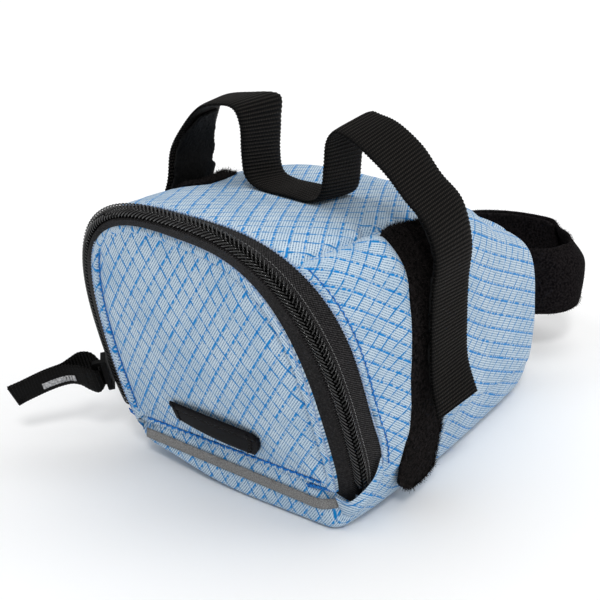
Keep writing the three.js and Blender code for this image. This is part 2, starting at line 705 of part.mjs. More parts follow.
// Slider: a plate that narrows to one end, with a bridge along its middle for the pull
function zipperSlider() {
  const [half, end, neck] = [SLIDER.wide / 2, SLIDER.long / 2, SLIDER.neck / 2];
  const right = [
    [neck, -end],
    [half, SLIDER.shoulder - end],
    [half, end - SLIDER.corner],
    [half - SLIDER.corner, end],
  ];
  const outlinePoints = [...right, ...right.toReversed().map(([x, y]) => [-x, y])];
  const plate = new THREE.Shape(outlinePoints.map(([x, y]) => new THREE.Vector2(x, y)));
  const plateBody = new THREE.ExtrudeGeometry(plate, { depth: SLIDER.thick, bevelEnabled: false });
  const [reach, high] = [BRIDGE.long / 2, BRIDGE.clear + BRIDGE.bar];
  const sunk = -SLIDER.thick / 2;
  const inner = reach - BRIDGE.leg;
  const front = [
    [inner, BRIDGE.clear],
    [inner, sunk],
    [reach, sunk],
    [reach, high - BRIDGE.corner],
    [reach - BRIDGE.corner, high],
  ];
  const stapleOutline = [...front, ...front.toReversed().map(([x, y]) => [-x, y])];
  const staple = new THREE.Shape(stapleOutline.map(([x, y]) => new THREE.Vector2(x, y)));
  const bridge = new THREE.ExtrudeGeometry(staple, { depth: BRIDGE.wide, bevelEnabled: false });
  bridge.translate(0, 0, -BRIDGE.wide / 2);
  bridge.rotateX(Math.PI / 2);
  bridge.rotateZ(Math.PI / 2);
  bridge.translate(0, 0, SLIDER.thick);
  return geometryOf(solid(plateBody).add(solid(bridge))).applyMatrix4(sliderFrame());
}

function zipperPull() {
  const frame = sliderFrame();
  const bar = SLIDER.thick + BRIDGE.clear + BRIDGE.bar / 2;
  const rows = pathRows(PULL_PATH, PULL_STEPS).map((p) =>
    [-0.5, 0.5].map((side) => vec(p.aside, side * p.wide - p.rise, bar + p.out).applyMatrix4(frame)),
  );
  return thicken([gridSurface(rows)], RIBBON);
}

const root = new THREE.Group();

function piece(name, geometry, color, roughness, metalness = 0) {
  geometry.computeVertexNormals();
  const mesh = new THREE.Mesh(geometry, new THREE.MeshStandardMaterial({ color, roughness, metalness }));
  mesh.name = name;
  root.add(mesh);
}

piece("body_shell", bodyShell(), 0xa9c4e4, 0.85);
piece("rear_panel", rearPanel(), 0xa9c4e4, 0.85);
piece("zipper_tape_inner", tapeInner(), 0x17181a, 0.9);
piece("zipper_coil", zipperCoil(), 0x0d0d0e, 0.35);
piece("zipper_tape_outer", tapeOuter(), 0x17181a, 0.9);
piece("zipper_slider", zipperSlider(), 0x1b1b1c, 0.4, 0.6);
piece("zipper_pull", zipperPull(), 0x1a1a1a, 0.9);
piece("light_loop", lightLoop(), 0x17181a, 0.8);
piece("reflective_strip", reflectiveStrip(), 0x85878a, 0.5);
piece("rail_strap", railStrap(), 0x1c1b1a, 0.85);
piece("hook_patch_left", hookPatch(HOOK_PATCH.from, HOOK_PATCH.to), 0x0c0c0d, 0.95);
const strapEnd = STRAP_PATH.length - 1;
piece("hook_patch_right", hookPatch(strapEnd - HOOK_PATCH.to, strapEnd - HOOK_PATCH.from), 0x0c0c0d, 0.95);
piece("loop_band_left", loopBand(-1), 0x0c0c0d, 1);
piece("loop_band_right", loopBand(1), 0x0c0c0d, 1);
piece("post_strap", postStrap(), 0x0c0c0d, 1);

export default root;
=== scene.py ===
# Looks of the bicycle saddle bag: sewn ripstop cloth, coil zipper, ribbed webbing and fuzzy loop tape, built
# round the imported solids. Shapes are worked out in millimetres and made in metres.
import math
from types import SimpleNamespace as Named

import bmesh
import bpy
import numpy as np
from mathutils import Matrix, Vector


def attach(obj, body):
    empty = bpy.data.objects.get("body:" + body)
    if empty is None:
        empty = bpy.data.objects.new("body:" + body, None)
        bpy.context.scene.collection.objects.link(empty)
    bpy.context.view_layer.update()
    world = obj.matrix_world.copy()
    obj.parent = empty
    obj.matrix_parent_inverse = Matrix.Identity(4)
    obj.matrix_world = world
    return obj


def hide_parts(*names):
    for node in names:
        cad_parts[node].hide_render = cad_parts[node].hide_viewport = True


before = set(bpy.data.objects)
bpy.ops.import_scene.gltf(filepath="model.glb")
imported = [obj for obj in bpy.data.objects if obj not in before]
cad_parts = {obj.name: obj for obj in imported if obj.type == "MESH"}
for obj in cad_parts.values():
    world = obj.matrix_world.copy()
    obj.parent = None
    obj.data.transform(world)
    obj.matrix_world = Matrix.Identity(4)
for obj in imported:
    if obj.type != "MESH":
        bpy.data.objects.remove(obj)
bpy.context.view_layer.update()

MM = 0.001

# Camera: angles in degrees, all else in millimetres
CAMERA = Named(azimuth=38.863, elevation=22.076, distance=600, target=(-10.0, -10.0, 49.48), lens=108,
               sensor=36, clip=10)


def add_object(name, data):
    thing = bpy.data.objects.new(name, data)
    bpy.context.scene.collection.objects.link(thing)
    return thing


def add_camera():
    az, el = math.radians(CAMERA.azimuth), math.radians(CAMERA.elevation)
    back = np.array([math.sin(az) * math.cos(el), -math.cos(az) * math.cos(el), math.sin(el)])
    right = np.array([math.cos(az), math.sin(az), 0.0])
    above = np.cross(back, right)
    spot = (np.array(CAMERA.target) + back * CAMERA.distance) * MM
    rows = [[right[k], above[k], back[k], spot[k]] for k in range(3)] + [[0, 0, 0, 1]]
    data = bpy.data.cameras.new("camera")
    data.lens = CAMERA.lens
    data.sensor_width = CAMERA.sensor
    data.clip_start = CAMERA.clip * MM
    camera = add_object("camera", data)
    camera.matrix_world = Matrix(rows)
    bpy.context.scene.camera = camera


add_camera()

# The solids' own sizes
COIL = Named(wide=5.4, thick=2.8, turn=48)
TAPE_OUTER_WIDE = 8.8
FOOT_CURVE = 14
ZIP_START = 1.9
LIP_FOOT = -57.5
SEAM = Named(up=5, back=5)
FLAP = Named(crown=8, middle_up=40, dome=2)
GAP = 0.3

# The closed coil sits a little further in along the right leg
COIL_SHIFT = Named(across=-1.5, along=(0.5, 0.75))

# Inner edge of the flap's tape for each sixth of the rim: inset from the rim, distance behind the rim plane
TAPE_INNER = [(9.8, 5.7), (9.6, 5.7), (3.4, 0.6), (8.2, -1.6), (8.4, 2.2), (7.4, 5.7), (7.4, 5.7)]

# Body cross-sections: Y at the base, Y at the top, height, largest half width, its height, half width on the
# ground, roundness of the upper curve and of the lower curve
BODY_ROWS = [
    (-46.3, -81.7, 100, 51.4, 29.4, 39, 2.86, 2),
    (-38, -58, 96.5, 52.5, 36, 38, 3.6, 2.1),
    (-28, -32, 92.4, 52, 42, 37, 4.4, 2.2),
    (-8, -8, 90.2, 49.5, 42, 36, 5.2, 2.2),
    (18, 18, 86.4, 44.5, 38, 33, 5.2, 2.2),
    (41, 40, 76, 40.4, 34, 29, 4.2, 2.2),
    (62, 60, 67, 36.4, 31, 25, 3.8, 2.2),
]
LAST_ROW = len(BODY_ROWS) - 1
NOSE = Named(round=20, middle=33, power_side=4, power_up=2.2, taper_side=0.16, taper_up=0.22)
# Dents of both sides: Y, Z, reach in Y and in Z, depth. They set in between two half widths
SIDE_DENTS = [(-26, 86, 12, 9, 3.5), (-19, 62, 9, 30, 1.5)]
SIDE_DENT_FROM = (20, 40)
# The base's left rear corner, lifted and drawn in
CORNER = Named(x=-50, y=-50, reach_x=46, reach_y=26, lift=7, inward=4.5, fade=12)
# Columns of the upper curve, of the lower curve and of the flat base on one side
ARCH, HEEL, FLAT = 9, 5, 2
FOOT_COLUMN = ARCH + 2
LAST_COLUMN = ARCH + HEEL + FLAT

# Column of the seam between the top and a side, one for each body row
TOP_SEAM = [(3.8,), (3.2,), (2.8,), (2.7,), (2.7,), (2.9,), (3.1,)]


def smooth(x, low, high):
    t = np.clip((np.asarray(x, float) - low) / (high - low), 0, 1)
    return t * t * (3 - 2 * t)


def mix(a, b, t):
    return a + (b - a) * t


def running(steps):
    """Length run at each place of a path, from the steps between the places."""
    return np.concatenate([[0], np.cumsum(steps)])


def path_run(path):
    return running(np.linalg.norm(np.diff(path, axis=0), axis=-1))


def at_lengths(values, length, want):
    """Rows of values at wanted lengths along a path."""
    return np.stack([np.interp(want, length, column) for column in values.T], -1)


def unit(v):
    return v / np.maximum(np.linalg.norm(v, axis=-1, keepdims=True), 1e-12)


def curve(table, at):
    """Values of a table at fractional rows, on smooth curves through them. The last axis is the table's."""
    rows = np.array(table, float)
    at = np.asarray(at, float)
    last = len(rows) - 1
    i = np.clip(np.floor(at).astype(int), 0, last - 1)
    f = (at - i)[..., None]
    a, b, c, d = (rows[np.clip(i + k, 0, last)] for k in (-1, 0, 1, 2))
    f2, f3 = f * f, f * f * f
    rise = b * (2 * f3 - 3 * f2 + 1) + c * (3 * f2 - 2 * f3)
    return rise + (c - a) / 2 * (f3 - 2 * f2 + f) + (d - b) / 2 * (f3 - f2)


def whole_curve(table, count):
    return curve(table, np.linspace(0, len(table) - 1, count))


def outline(row, col):
    """Half width and height share of a cross-section at a column, 0 at the middle of the top."""
    top, wide, waist, flat, arch, heel = (row[..., k] for k in range(2, 8))
    share = waist / top
    angle = np.radians(90 * (1 - np.clip(col, 0, ARCH) / ARCH))
    arch_x = wide * np.cos(angle).clip(0) ** (2 / arch)
    arch_s = share + (1 - share) * np.sin(angle).clip(0) ** (2 / arch)
    angle = np.radians(90 * np.clip(col - ARCH, 0, HEEL) / HEEL)
    heel_x = flat + (wide - flat) * np.cos(angle).clip(0) ** (2 / heel)
    heel_s = share * (1 - np.sin(angle).clip(0) ** (2 / heel))
    flat_x = flat * (1 - (col - ARCH - HEEL) / FLAT)
    x = np.where(col <= ARCH, arch_x, np.where(col <= ARCH + HEEL, heel_x, flat_x))
    return x, np.where(col <= ARCH, arch_s, np.where(col <= ARCH + HEEL, heel_s, 0))


def bump(a, b):
    return np.clip(1 - (a * a + b * b) / 1.5**2, 0, None) ** 4


def dented(p):
    x, y, z = p[..., 0].copy(), p[..., 1], p[..., 2].copy()
    side = np.sign(x) * smooth(np.abs(x), *SIDE_DENT_FROM)
    for dent_y, dent_z, reach_y, reach_z, depth in SIDE_DENTS:
        x -= side * depth * bump((y - dent_y) / reach_y, (z - dent_z) / reach_z)
    corner = bump((x - CORNER.x) / CORNER.reach_x, (y - CORNER.y) / CORNER.reach_y)
    corner = corner * (1 - smooth(z, 0, CORNER.fade))
    return np.stack([x + CORNER.inward * corner, y, z + CORNER.lift * corner], -1)


def body_point(at, col):
    """Body surface at a fractional row and a column, negative columns on the left."""
    at, col = np.broadcast_arrays(np.asarray(at, float), np.asarray(col, float))
    row = curve(BODY_ROWS, at)
    x, share = outline(row, np.abs(col))
    y = mix(row[..., 0], row[..., 1], share)
    return dented(np.stack([np.where(col < 0, -x, x), y, row[..., 2] * share], -1))


def nose_close(turn, z):
    """How far the nose has not yet closed in height, from 1 at the body to 0 at the tip."""
    angle = np.radians(90 * turn)
    taper = np.where(z > NOSE.middle, 1 - NOSE.taper_up * np.sin(angle), 1)
    return taper * np.cos(angle).clip(0) ** (2 / NOSE.power_up)


def nose_point(turn, col):
    p = body_point(LAST_ROW + 0 * np.asarray(turn, float), col)
    angle = np.radians(90 * turn)
    side = (1 - NOSE.taper_side * np.sin(angle)) * np.cos(angle).clip(0) ** (2 / NOSE.power_side)
    z = NOSE.middle + (p[..., 2] - NOSE.middle) * nose_close(turn, p[..., 2])
    middle = (BODY_ROWS[-1][0] + BODY_ROWS[-1][1]) / 2
    y = mix(p[..., 1], middle, turn) + NOSE.round * np.sin(angle)
    return np.stack([p[..., 0] * side, y, z], -1)


RIM_TILT = math.atan2(BODY_ROWS[0][0] - BODY_ROWS[0][1], BODY_ROWS[0][2])
RIM_FOOT = body_point(0, FOOT_COLUMN)


def rear_point(x, up, back):
    x, up, back = np.broadcast_arrays(*(np.asarray(v, float) for v in (x, up, back)))
    y = RIM_FOOT[1] - up * math.sin(RIM_TILT) - back * math.cos(RIM_TILT)
    return np.stack([x, y, RIM_FOOT[2] + up * math.cos(RIM_TILT) - back * math.sin(RIM_TILT)], -1)


def rim_outline(col):
    return outline(np.array(BODY_ROWS[0], float) + 0 * np.asarray(col)[..., None], np.abs(col))


def rim_places(count, tail=0.0):
    """Places in equal steps along the rim, from the left foot to the right foot: x, up, the direction out of
    the arch, and t from 0 to 1. A tail runs on past both feet."""
    col = np.linspace(-FOOT_COLUMN - 1, FOOT_COLUMN + 1, 1801)
    x, share = rim_outline(col)
    up = (BODY_ROWS[0][2] * share - RIM_FOOT[2]) / math.cos(RIM_TILT)
    line = np.stack([np.where(col < 0, -x, x), up], -1)
    length = path_run(line)
    start, end = np.interp([-FOOT_COLUMN, FOOT_COLUMN], col, length) + [ZIP_START, -ZIP_START]
    want = np.linspace(start - tail, end + tail, count + 1)
    here, ahead, behind = (at_lengths(line, length, want + step) for step in (0, 1, -1))
    way = unit(ahead - behind)
    return {"x": here[:, 0], "up": here[:, 1], "out_x": -way[:, 1], "out_up": way[:, 0],
            "t": np.clip((want - start) / (end - start), 0, 1), "length": end - start}


def coil_point(place, across, lift):
    turn = math.radians(COIL.turn)
    across = across + COIL_SHIFT.across * smooth(place["t"], *COIL_SHIFT.along)
    out = across * math.cos(turn) + lift * math.sin(turn)
    back = -across * math.sin(turn) + lift * math.cos(turn)
    return rear_point(place["x"] + out * place["out_x"], place["up"] + out * place["out_up"], back)


def flap_edge(place):
    inset, back = np.moveaxis(curve(TAPE_INNER, place["t"] * (len(TAPE_INNER) - 1)), -1, 0)
    up = np.maximum(place["up"] - inset * place["out_up"], SEAM.up)
    return place["x"] - inset * place["out_x"], up, back


def tape_share(col):
    _, share = rim_outline(col)
    t = np.clip((share * BODY_ROWS[0][2] - RIM_FOOT[2]) / FOOT_CURVE, 0, 1)
    return np.sqrt(1 - (1 - t) ** 2)


def solve_row(col, reached, high):
    low, high = np.zeros(np.shape(col)), np.full(np.shape(col), float(high))
    for _ in range(36):
        middle = (low + high) / 2
        short = ~reached(middle)
        low, high = np.where(short, middle, low), np.where(short, high, middle)
    return low


def row_at_distance(distance, col):
    start = body_point(0, col)
    return solve_row(col, lambda at: np.linalg.norm(body_point(at, col) - start, axis=-1) >= distance, 2)


def row_at_y(y, col):
    return solve_row(col, lambda at: body_point(at, col)[..., 1] >= y, LAST_ROW)


def lip_y(z):
    seam = rear_point(0, SEAM.up, SEAM.back)
    return mix(LIP_FOOT, seam[1], z / seam[2])


def flap_back(x, up, edge):
    """How far the flap stands behind the rim plane at a place across and up."""
    ex, eu = edge[0], edge[1] - FLAP.middle_up
    turn = np.unwrap(np.arctan2(ex, eu))
    order = np.argsort(turn)
    at = np.arctan2(x, up - FLAP.middle_up)
    far = np.interp(at, turn[order], np.hypot(ex, eu)[order], period=2 * math.pi)
    back = np.interp(at, turn[order], edge[2][order], period=2 * math.pi)
    share = np.clip(np.hypot(x, up - FLAP.middle_up) / far, 0, 1)
    return mix(FLAP.crown, back, share ** FLAP.dome)


# Mesh making

def grid_normals(p):
    return unit(np.cross(np.gradient(p, axis=0), np.gradient(p, axis=1)))


def quads(rows, cols, closed=False):
    i, j = np.meshgrid(np.arange(rows - 1), np.arange(cols if closed else cols - 1), indexing="ij")
    k = (j + 1) % cols
    return np.stack([i * cols + j, i * cols + k, (i + 1) * cols + k, (i + 1) * cols + j], -1).reshape(-1, 4)


def shape(co, uv, faces):
    return {"co": co.reshape(-1, 3), "uv": uv.reshape(-1, 2), "faces": faces}


def sheet(p, uv):
    return shape(p, uv, quads(*p.shape[:2]))


# How close to a strip's edge its rounding starts: the higher, the closer
EDGE_POWER = 7


def arc(p, axis):
    step = np.linalg.norm(np.diff(p, axis=axis), axis=-1)
    pad = [(0, 0), (0, 0)]
    pad[axis] = (1, 0)
    return np.cumsum(np.pad(step, pad), axis=axis)


def way_uv(p, along=1):
    """UV coordinates in millimetres, along one direction of a grid and along the other."""
    return np.stack([arc(p, along), arc(p, 1 - along)], -1)


def slab(p, thick, uv=None, edge=0.5):
    """Closed strip from its outer face: thick inwards, with its two long edges rounded off."""
    uv = way_uv(p) if uv is None else uv
    n = grid_normals(p)
    v = np.linspace(-1, 1, p.shape[1])
    slim = edge * (np.abs(v) ** EDGE_POWER) / 2
    thick = np.broadcast_to(np.asarray(thick, float), p.shape[:2])
    top = p - n * (thick * slim)[..., None]
    low = p - n * (thick * (1 - slim))[..., None]
    ring = np.concatenate([top, low[:, ::-1]], 1)
    ring_uv = np.concatenate([uv, uv[:, ::-1]], 1)
    rows, cols = ring.shape[:2]
    faces = quads(rows, cols, True)
    half = p.shape[1]
    j = np.arange(half - 1)
    cap = np.stack([j, cols - 1 - j, cols - 2 - j, j + 1], -1)
    far = cap[:, ::-1] + (rows - 1) * cols
    return shape(ring, ring_uv, np.concatenate([faces, cap, far]))


def tubes(paths, radius, sides=6, taper=1.0):
    """Closed tubes along paths, an array of tube, step and coordinate."""
    count, steps = paths.shape[:2]
    along = unit(np.gradient(paths, axis=1))
    help_axis = np.where(np.abs(along[..., 2:]) < 0.8, [[0.0, 0.0, 1.0]], [[1.0, 0.0, 0.0]])
    side = unit(np.cross(along, help_axis))
    other = np.cross(along, side)
    turn = np.arange(sides) / sides * 2 * math.pi
    size = np.broadcast_to(np.asarray(radius, float), (count,))[:, None] * np.linspace(1, taper, steps)
    ring = side[:, :, None] * np.cos(turn)[:, None] + other[:, :, None] * np.sin(turn)[:, None]
    co = paths[:, :, None] + ring * size[:, :, None, None]
    one = quads(steps, sides, True)
    faces = (one[None] + (np.arange(count) * steps * sides)[:, None, None]).reshape(-1, 4)
    v = np.broadcast_to(np.arange(steps)[None, :, None], co.shape[:3])
    u = np.broadcast_to(np.arange(count)[:, None, None], co.shape[:3])
    return shape(co, np.stack([u, v / max(steps - 1, 1)], -1), faces)


def joined(parts):
    shift = np.cumsum([0] + [len(part["co"]) for part in parts[:-1]])
    co, uv = (np.concatenate([part[key] for part in parts]) for key in ("co", "uv"))
    return shape(co, uv, np.concatenate([part["faces"] + s for part, s in zip(parts, shift)]))


def make(name, parts, material, replaced=()):
    """A smooth mesh piece that rides on the bag, from one shape or several."""
    whole = joined(parts if isinstance(parts, list) else [parts])
    mesh = bpy.data.meshes.new(name)
    faces = whole["faces"].astype(np.int32)
    mesh.vertices.add(len(whole["co"]))
    mesh.vertices.foreach_set("co", (whole["co"] * MM).astype(np.float32).ravel())
    mesh.loops.add(faces.size)
    mesh.loops.foreach_set("vertex_index", faces.ravel())
    mesh.polygons.add(len(faces))
    mesh.polygons.foreach_set("loop_start", np.arange(0, faces.size, 4, dtype=np.int32))
    layer = mesh.uv_layers.new(name="UVMap")
    layer.data.foreach_set("uv", whole["uv"][faces.ravel()].astype(np.float32).ravel())
    mesh.update(calc_edges=True)
    mesh.validate()
    work = bmesh.new()
    work.from_mesh(mesh)
    bmesh.ops.recalc_face_normals(work, faces=work.faces)
    work.to_mesh(mesh)
    work.free()
    mesh.shade_smooth()
    mesh.materials.append(material)
    piece = add_object(name, mesh)
    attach(piece, "root")
    if replaced:
        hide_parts(*replaced)
    return piece


# Materials

# Colours of the ripstop, sRGB
CLOTH = Named(pale=(205, 221, 231), pale_low=(188, 208, 222), thread=(40, 98, 148), line=(0, 128, 200),
              thin_line=(2, 122, 188), crossing=(0, 104, 180))


def linear(red, green, blue):
    def one(c):
        c = c / 255
        return c / 12.92 if c <= 0.04045 else ((c + 0.055) / 1.055) ** 2.4
    return (one(red), one(green), one(blue), 1)


class Look:
    """A procedural material: small helpers that add and link shader nodes."""

    def __init__(self, name, rough, specular, sheen=0.0):
        self.material = bpy.data.materials.new(name)
        self.material.use_nodes = True
        self.nodes = self.material.node_tree.nodes
        self.links = self.material.node_tree.links
        self.shader = self.nodes["Principled BSDF"]
        self.shader.inputs["Roughness"].default_value = rough
        self.shader.inputs["Specular IOR Level"].default_value = specular
        self.shader.inputs["Sheen Weight"].default_value = sheen
        self.shader.inputs["Sheen Roughness"].default_value = 0.5

    def put(self, socket, value):
        if hasattr(value, "is_output"):
            self.links.new(value, socket)
        else:
            socket.default_value = value

    def add(self, kind, inputs, out=0, **settings):
        """One output of a new node whose inputs, by name or number, are values or other outputs."""
        node = self.nodes.new("ShaderNode" + kind)
        for key, value in settings.items():
            setattr(node, key, value)
        for key, value in inputs.items():
            self.put(node.inputs[key], value)
        return node.outputs[out]

    def math(self, kind, a, b=0.0, c=0.0):
        return self.add("Math", {0: a, 1: b, 2: c}, operation=kind)

    def times(self, a, b):
        return self.math("MULTIPLY", a, b)

    def ramp(self, value, low, high, to_low=0.0, to_high=1.0):
        ends = {"Value": value, "From Min": low, "From Max": high, "To Min": to_low, "To Max": to_high}
        return self.add("MapRange", ends, interpolation_type="SMOOTHSTEP")

    def blend(self, share, a, b):
        return self.add("Mix", {0: share, 6: a, 7: b}, 2, data_type="RGBA")

    def uv(self):
        both = self.add("UVMap", {}, uv_map="UVMap")
        return self.add("SeparateXYZ", {0: both}, 0), self.add("SeparateXYZ", {0: both}, 1)

    def place(self):
        return self.add("TexCoord", {}, "Object")

    def scaled(self, x, y, by_x, by_y):
        return self.add("CombineXYZ", {0: self.times(x, by_x), 1: self.times(y, by_y)})

    def noise(self, vector, scale, detail):
        return self.add("TexNoise", {"Vector": vector, "Scale": scale, "Detail": detail})

    def wave(self, value, count):
        """A wave from 0 to 1, count times for each unit of value."""
        turned = self.times(value, 2 * math.pi * count)
        return self.math("MULTIPLY_ADD", self.math("SINE", turned), 0.5, 0.5)

    def colour(self, value):
        self.put(self.shader.inputs["Base Color"], value)

    def shade(self, tone, low, high, dark, light):
        """Colour from dark to light, in sRGB, as a tone goes from low to high."""
        self.colour(self.blend(self.ramp(tone, low, high), linear(*dark), linear(*light)))

    def relief(self, height, depth, strength):
        bump = self.add("Bump", {"Height": height, "Distance": depth * MM, "Strength": strength})
        self.put(self.shader.inputs["Normal"], bump)


def ripstop_look():
    """Pale weave with two skew sets of blue lines. The UV coordinates count the lines of the two sets: the
    first set is a row of broad dabs, the second thin and nearly unbroken."""
    look = Look("ripstop", 0.75, 0.2, sheen=0.06)
    a, b = look.uv()
    dabs = look.noise(look.scaled(look.math("ROUND", a), b, 5.3, 4.2), 1.0, 1.0)
    runs = look.noise(look.scaled(a, look.math("ROUND", b), 2.6, 4.7), 1.0, 1.0)

    def lines(count, noise, half_width, edge, strength):
        off = look.math("PINGPONG", count, 0.5)
        inside = look.ramp(look.math("SUBTRACT", off, look.ramp(noise, *half_width)), *edge, 1.0, 0.0)
        return look.times(inside, look.ramp(noise, *strength))

    line_a = lines(a, dabs, (0.38, 0.6, 0.035, 0.085), (-0.025, 0.025), (0.38, 0.54, 0.3, 1.0))
    line_b = lines(b, runs, (0.36, 0.64, 0.032, 0.062), (-0.02, 0.025), (0.34, 0.54, 0.5, 1.0))
    hatch = look.math("SUBTRACT", 1.0, look.wave(a, 6))
    knots = look.math("MULTIPLY_ADD", look.wave(b, 6), -0.5, 1.0)
    speckle = look.noise(look.scaled(a, b, 9.0, 9.0), 1.0, 1.0)
    threads = look.times(hatch, knots)
    threads = look.times(threads, look.ramp(speckle, 0.3, 0.66, 0.55, 1.15))
    fade = look.noise(look.place(), 90.0, 2.0)
    pale = look.blend(look.ramp(fade, 0.35, 0.7), linear(*CLOTH.pale), linear(*CLOTH.pale_low))
    cloth = look.blend(threads, pale, linear(*CLOTH.thread))
    cloth = look.blend(line_b, cloth, linear(*CLOTH.thin_line))
    cloth = look.blend(line_a, cloth, linear(*CLOTH.line))
    cloth = look.blend(look.times(line_a, line_b), cloth, linear(*CLOTH.crossing))
    look.colour(cloth)
    height = look.math("ADD", look.times(threads, -0.4), look.math("MAXIMUM", line_a, line_b))
    look.relief(height, 0.1, 0.6)
    return look.material


def tape_look():
    """Fine black zipper tape, a twill whose UV coordinates are millimetres along and across."""
    look = Look("zip_tape", 0.85, 0.12, sheen=0.03)
    u, v = look.uv()
    twill = look.wave(look.math("ADD", u, v), 1.15)
    cross = look.wave(look.math("SUBTRACT", u, look.times(v, 0.6)), 1.6)
    grain = look.noise(look.place(), 1700.0, 2.0)
    weave = look.times(twill, cross)
    tone = look.math("MULTIPLY_ADD", weave, 0.5, look.times(grain, 0.7))
    look.shade(tone, 0.36, 0.8, (6, 6, 7), (68, 66, 67))
    look.relief(tone, 0.2, 1.0)
    return look.material


def webbing_look(name, dark, light):
    """Black webbing. The UV coordinates count its ribs along and its yarns across."""
    look = Look(name, 0.6, 0.1)
    u, v = look.uv()
    slant = look.math("MULTIPLY_ADD", u, 0.5, v)
    yarn = look.math("MULTIPLY_ADD", look.wave(slant, 1), 0.85, 0.15)
    rib = look.wave(look.math("SUBTRACT", u, 0.25), 1)
    weave = look.times(yarn, rib)
    grain = look.noise(look.place(), 1500.0, 2.0)
    tone = look.math("MULTIPLY_ADD", weave, 0.8, look.times(grain, 0.3))
    look.shade(tone, 0.2, 0.95, dark, light)
    look.relief(look.math("MULTIPLY_ADD", weave, 1.2, grain), 0.25, 1.0)
    return look.material


def plain_look(name, dark, light, rough, scale, depth, specular):
    """Grainy material of one colour."""
    look = Look(name, rough, specular)
    grain = look.noise(look.place(), scale, 3.0)
    look.shade(grain, 0.3, 0.7, dark, light)
    look.relief(grain, depth, 0.6)
    return look.material


RIPSTOP = ripstop_look()
ZIP_TAPE = tape_look()
WEB = webbing_look("webbing", (0, 0, 0), (50, 46, 42))
RIBBON = webbing_look("ribbon", (4, 4, 4), (40, 39, 38))

# Plain materials: name, darkest and lightest colour in sRGB, roughness, scale of the grain, its depth in
# millimetres, specular level
PLAIN_LOOKS = [
    ("zip_coil", (0, 0, 0), (2, 2, 2), 0.08, 900, 0.01, 0.65),
    ("zip_slider", (1, 1, 1), (5, 5, 6), 0.6, 700, 0.02, 0.1),
    ("loop_tape", (4, 4, 4), (32, 29, 29), 0.95, 900, 0.4, 0.03),
    ("post_tape", (7, 6, 7), (31, 28, 29), 0.95, 1300, 0.3, 0.03),
    # loop_fuzz: dark fibres whose lighter tones are partly painted highlight, standing in for light caught by
    # the fuzz at the tapes' edges
    ("loop_fuzz", (8, 7, 7), (56, 51, 50), 0.9, 1200, 0.02, 0.06),
    ("hook_tape", (5, 5, 6), (20, 20, 20), 0.8, 1600, 0.25, 0.15),
    ("reflective", (92, 91, 90), (138, 137, 135), 0.5, 2600, 0.02, 0.4),
    ("light_tab", (4, 4, 6), (16, 15, 18), 0.6, 1800, 0.05, 0.1),
    ("blue_thread", (8, 84, 164), (40, 132, 208), 0.7, 1500, 0.03, 0.2),
    ("grey_thread", (92, 93, 94), (150, 150, 150), 0.7, 2400, 0.03, 0.2),
    ("black_thread", (6, 6, 7), (26, 25, 27), 0.55, 2400, 0.03, 0.2),
    ("woven_bar", (120, 120, 122), (196, 196, 197), 0.8, 1500, 0.1, 0.2),
    ("cloth_edge", (96, 140, 190), (196, 208, 224), 0.8, 1300, 0.03, 0.2),
]
PLAIN = {row[0]: plain_look(*row) for row in PLAIN_LOOKS}

# The two sets of lines on each panel: their shares along the panel's length and across it, and their spacing
LINE_SETS = {
    "top": ((0.53, 0.848, 4.5), (-0.469, 0.883, 4.7)),
    "side": ((0.5, 0.866, 4.5), (0.5, -0.866, 4.4)),
    "rear": ((-0.574, 0.819, 4.55), (0.574, 0.819, 4.55)),
}


def phases(along, across, panel):
    """Line counts of a panel's two sets at places along its length and across it."""
    counts = []
    for share_along, share_across, gap in LINE_SETS[panel]:
        counts.append((share_along * along + share_across * across) / gap)
    return np.stack(counts, -1)


# How closely a side's first set of lines runs behind and at the nose, and where along the side it changes
DRAPE = Named(behind=1.21, nose=0.76, change=(-25, 35), ends=(-110, 160))


def draped(along):
    """Length along a side as its first set of lines counts it."""
    y = np.linspace(*DRAPE.ends, 541)
    gain = mix(DRAPE.behind, DRAPE.nose, smooth(y, *DRAPE.change))
    return np.interp(along, y, y[0] + running(gain[1:] * np.diff(y)))


RIPPLE_WAVES = (34, 23, 15, 10)
RIPPLE_SUM = 2.4


def ripples(p, size, seed):
    """Small soft waves of cloth."""
    rng = np.random.default_rng(seed)
    total = np.zeros(p.shape[:-1])
    for wave in RIPPLE_WAVES:
        d = unit(rng.normal(size=3))
        total += wave / RIPPLE_WAVES[0] * np.sin(p @ d * 2 * math.pi / wave + rng.uniform(0, 6.28))
    return size * total / RIPPLE_SUM


def hump(x, middle, wide):
    return np.exp(-(((x - middle) / wide) ** 2))


# A place inside the body, from which outward is told
BODY_MIDDLE = (0, 0, 40)
REAR_NORMAL = unit(rear_point(0, 0, 1) - rear_point(0, 0, 0))


def outward_normals(p, middle=BODY_MIDDLE):
    n = grid_normals(p)
    return n * np.sign((n * (p - middle)).sum(-1).mean())


# Body cloth: top, two sides with the base, the lower lip and two facings, sewn together

HEM_LAP = 0.7
BODY_STATIONS, STATION_POWER = 150, 1.15
NOSE_RINGS, NOSE_POWER, NOSE_END = 30, 0.8, 0.9995
TOP_STEPS, SIDE_STEPS = 72, 132
SIDE_MIDDLE = 60


def nose_turns():
    return np.append(np.linspace(0, 1, NOSE_RINGS + 1)[1:-1] ** NOSE_POWER, NOSE_END)[:, None]


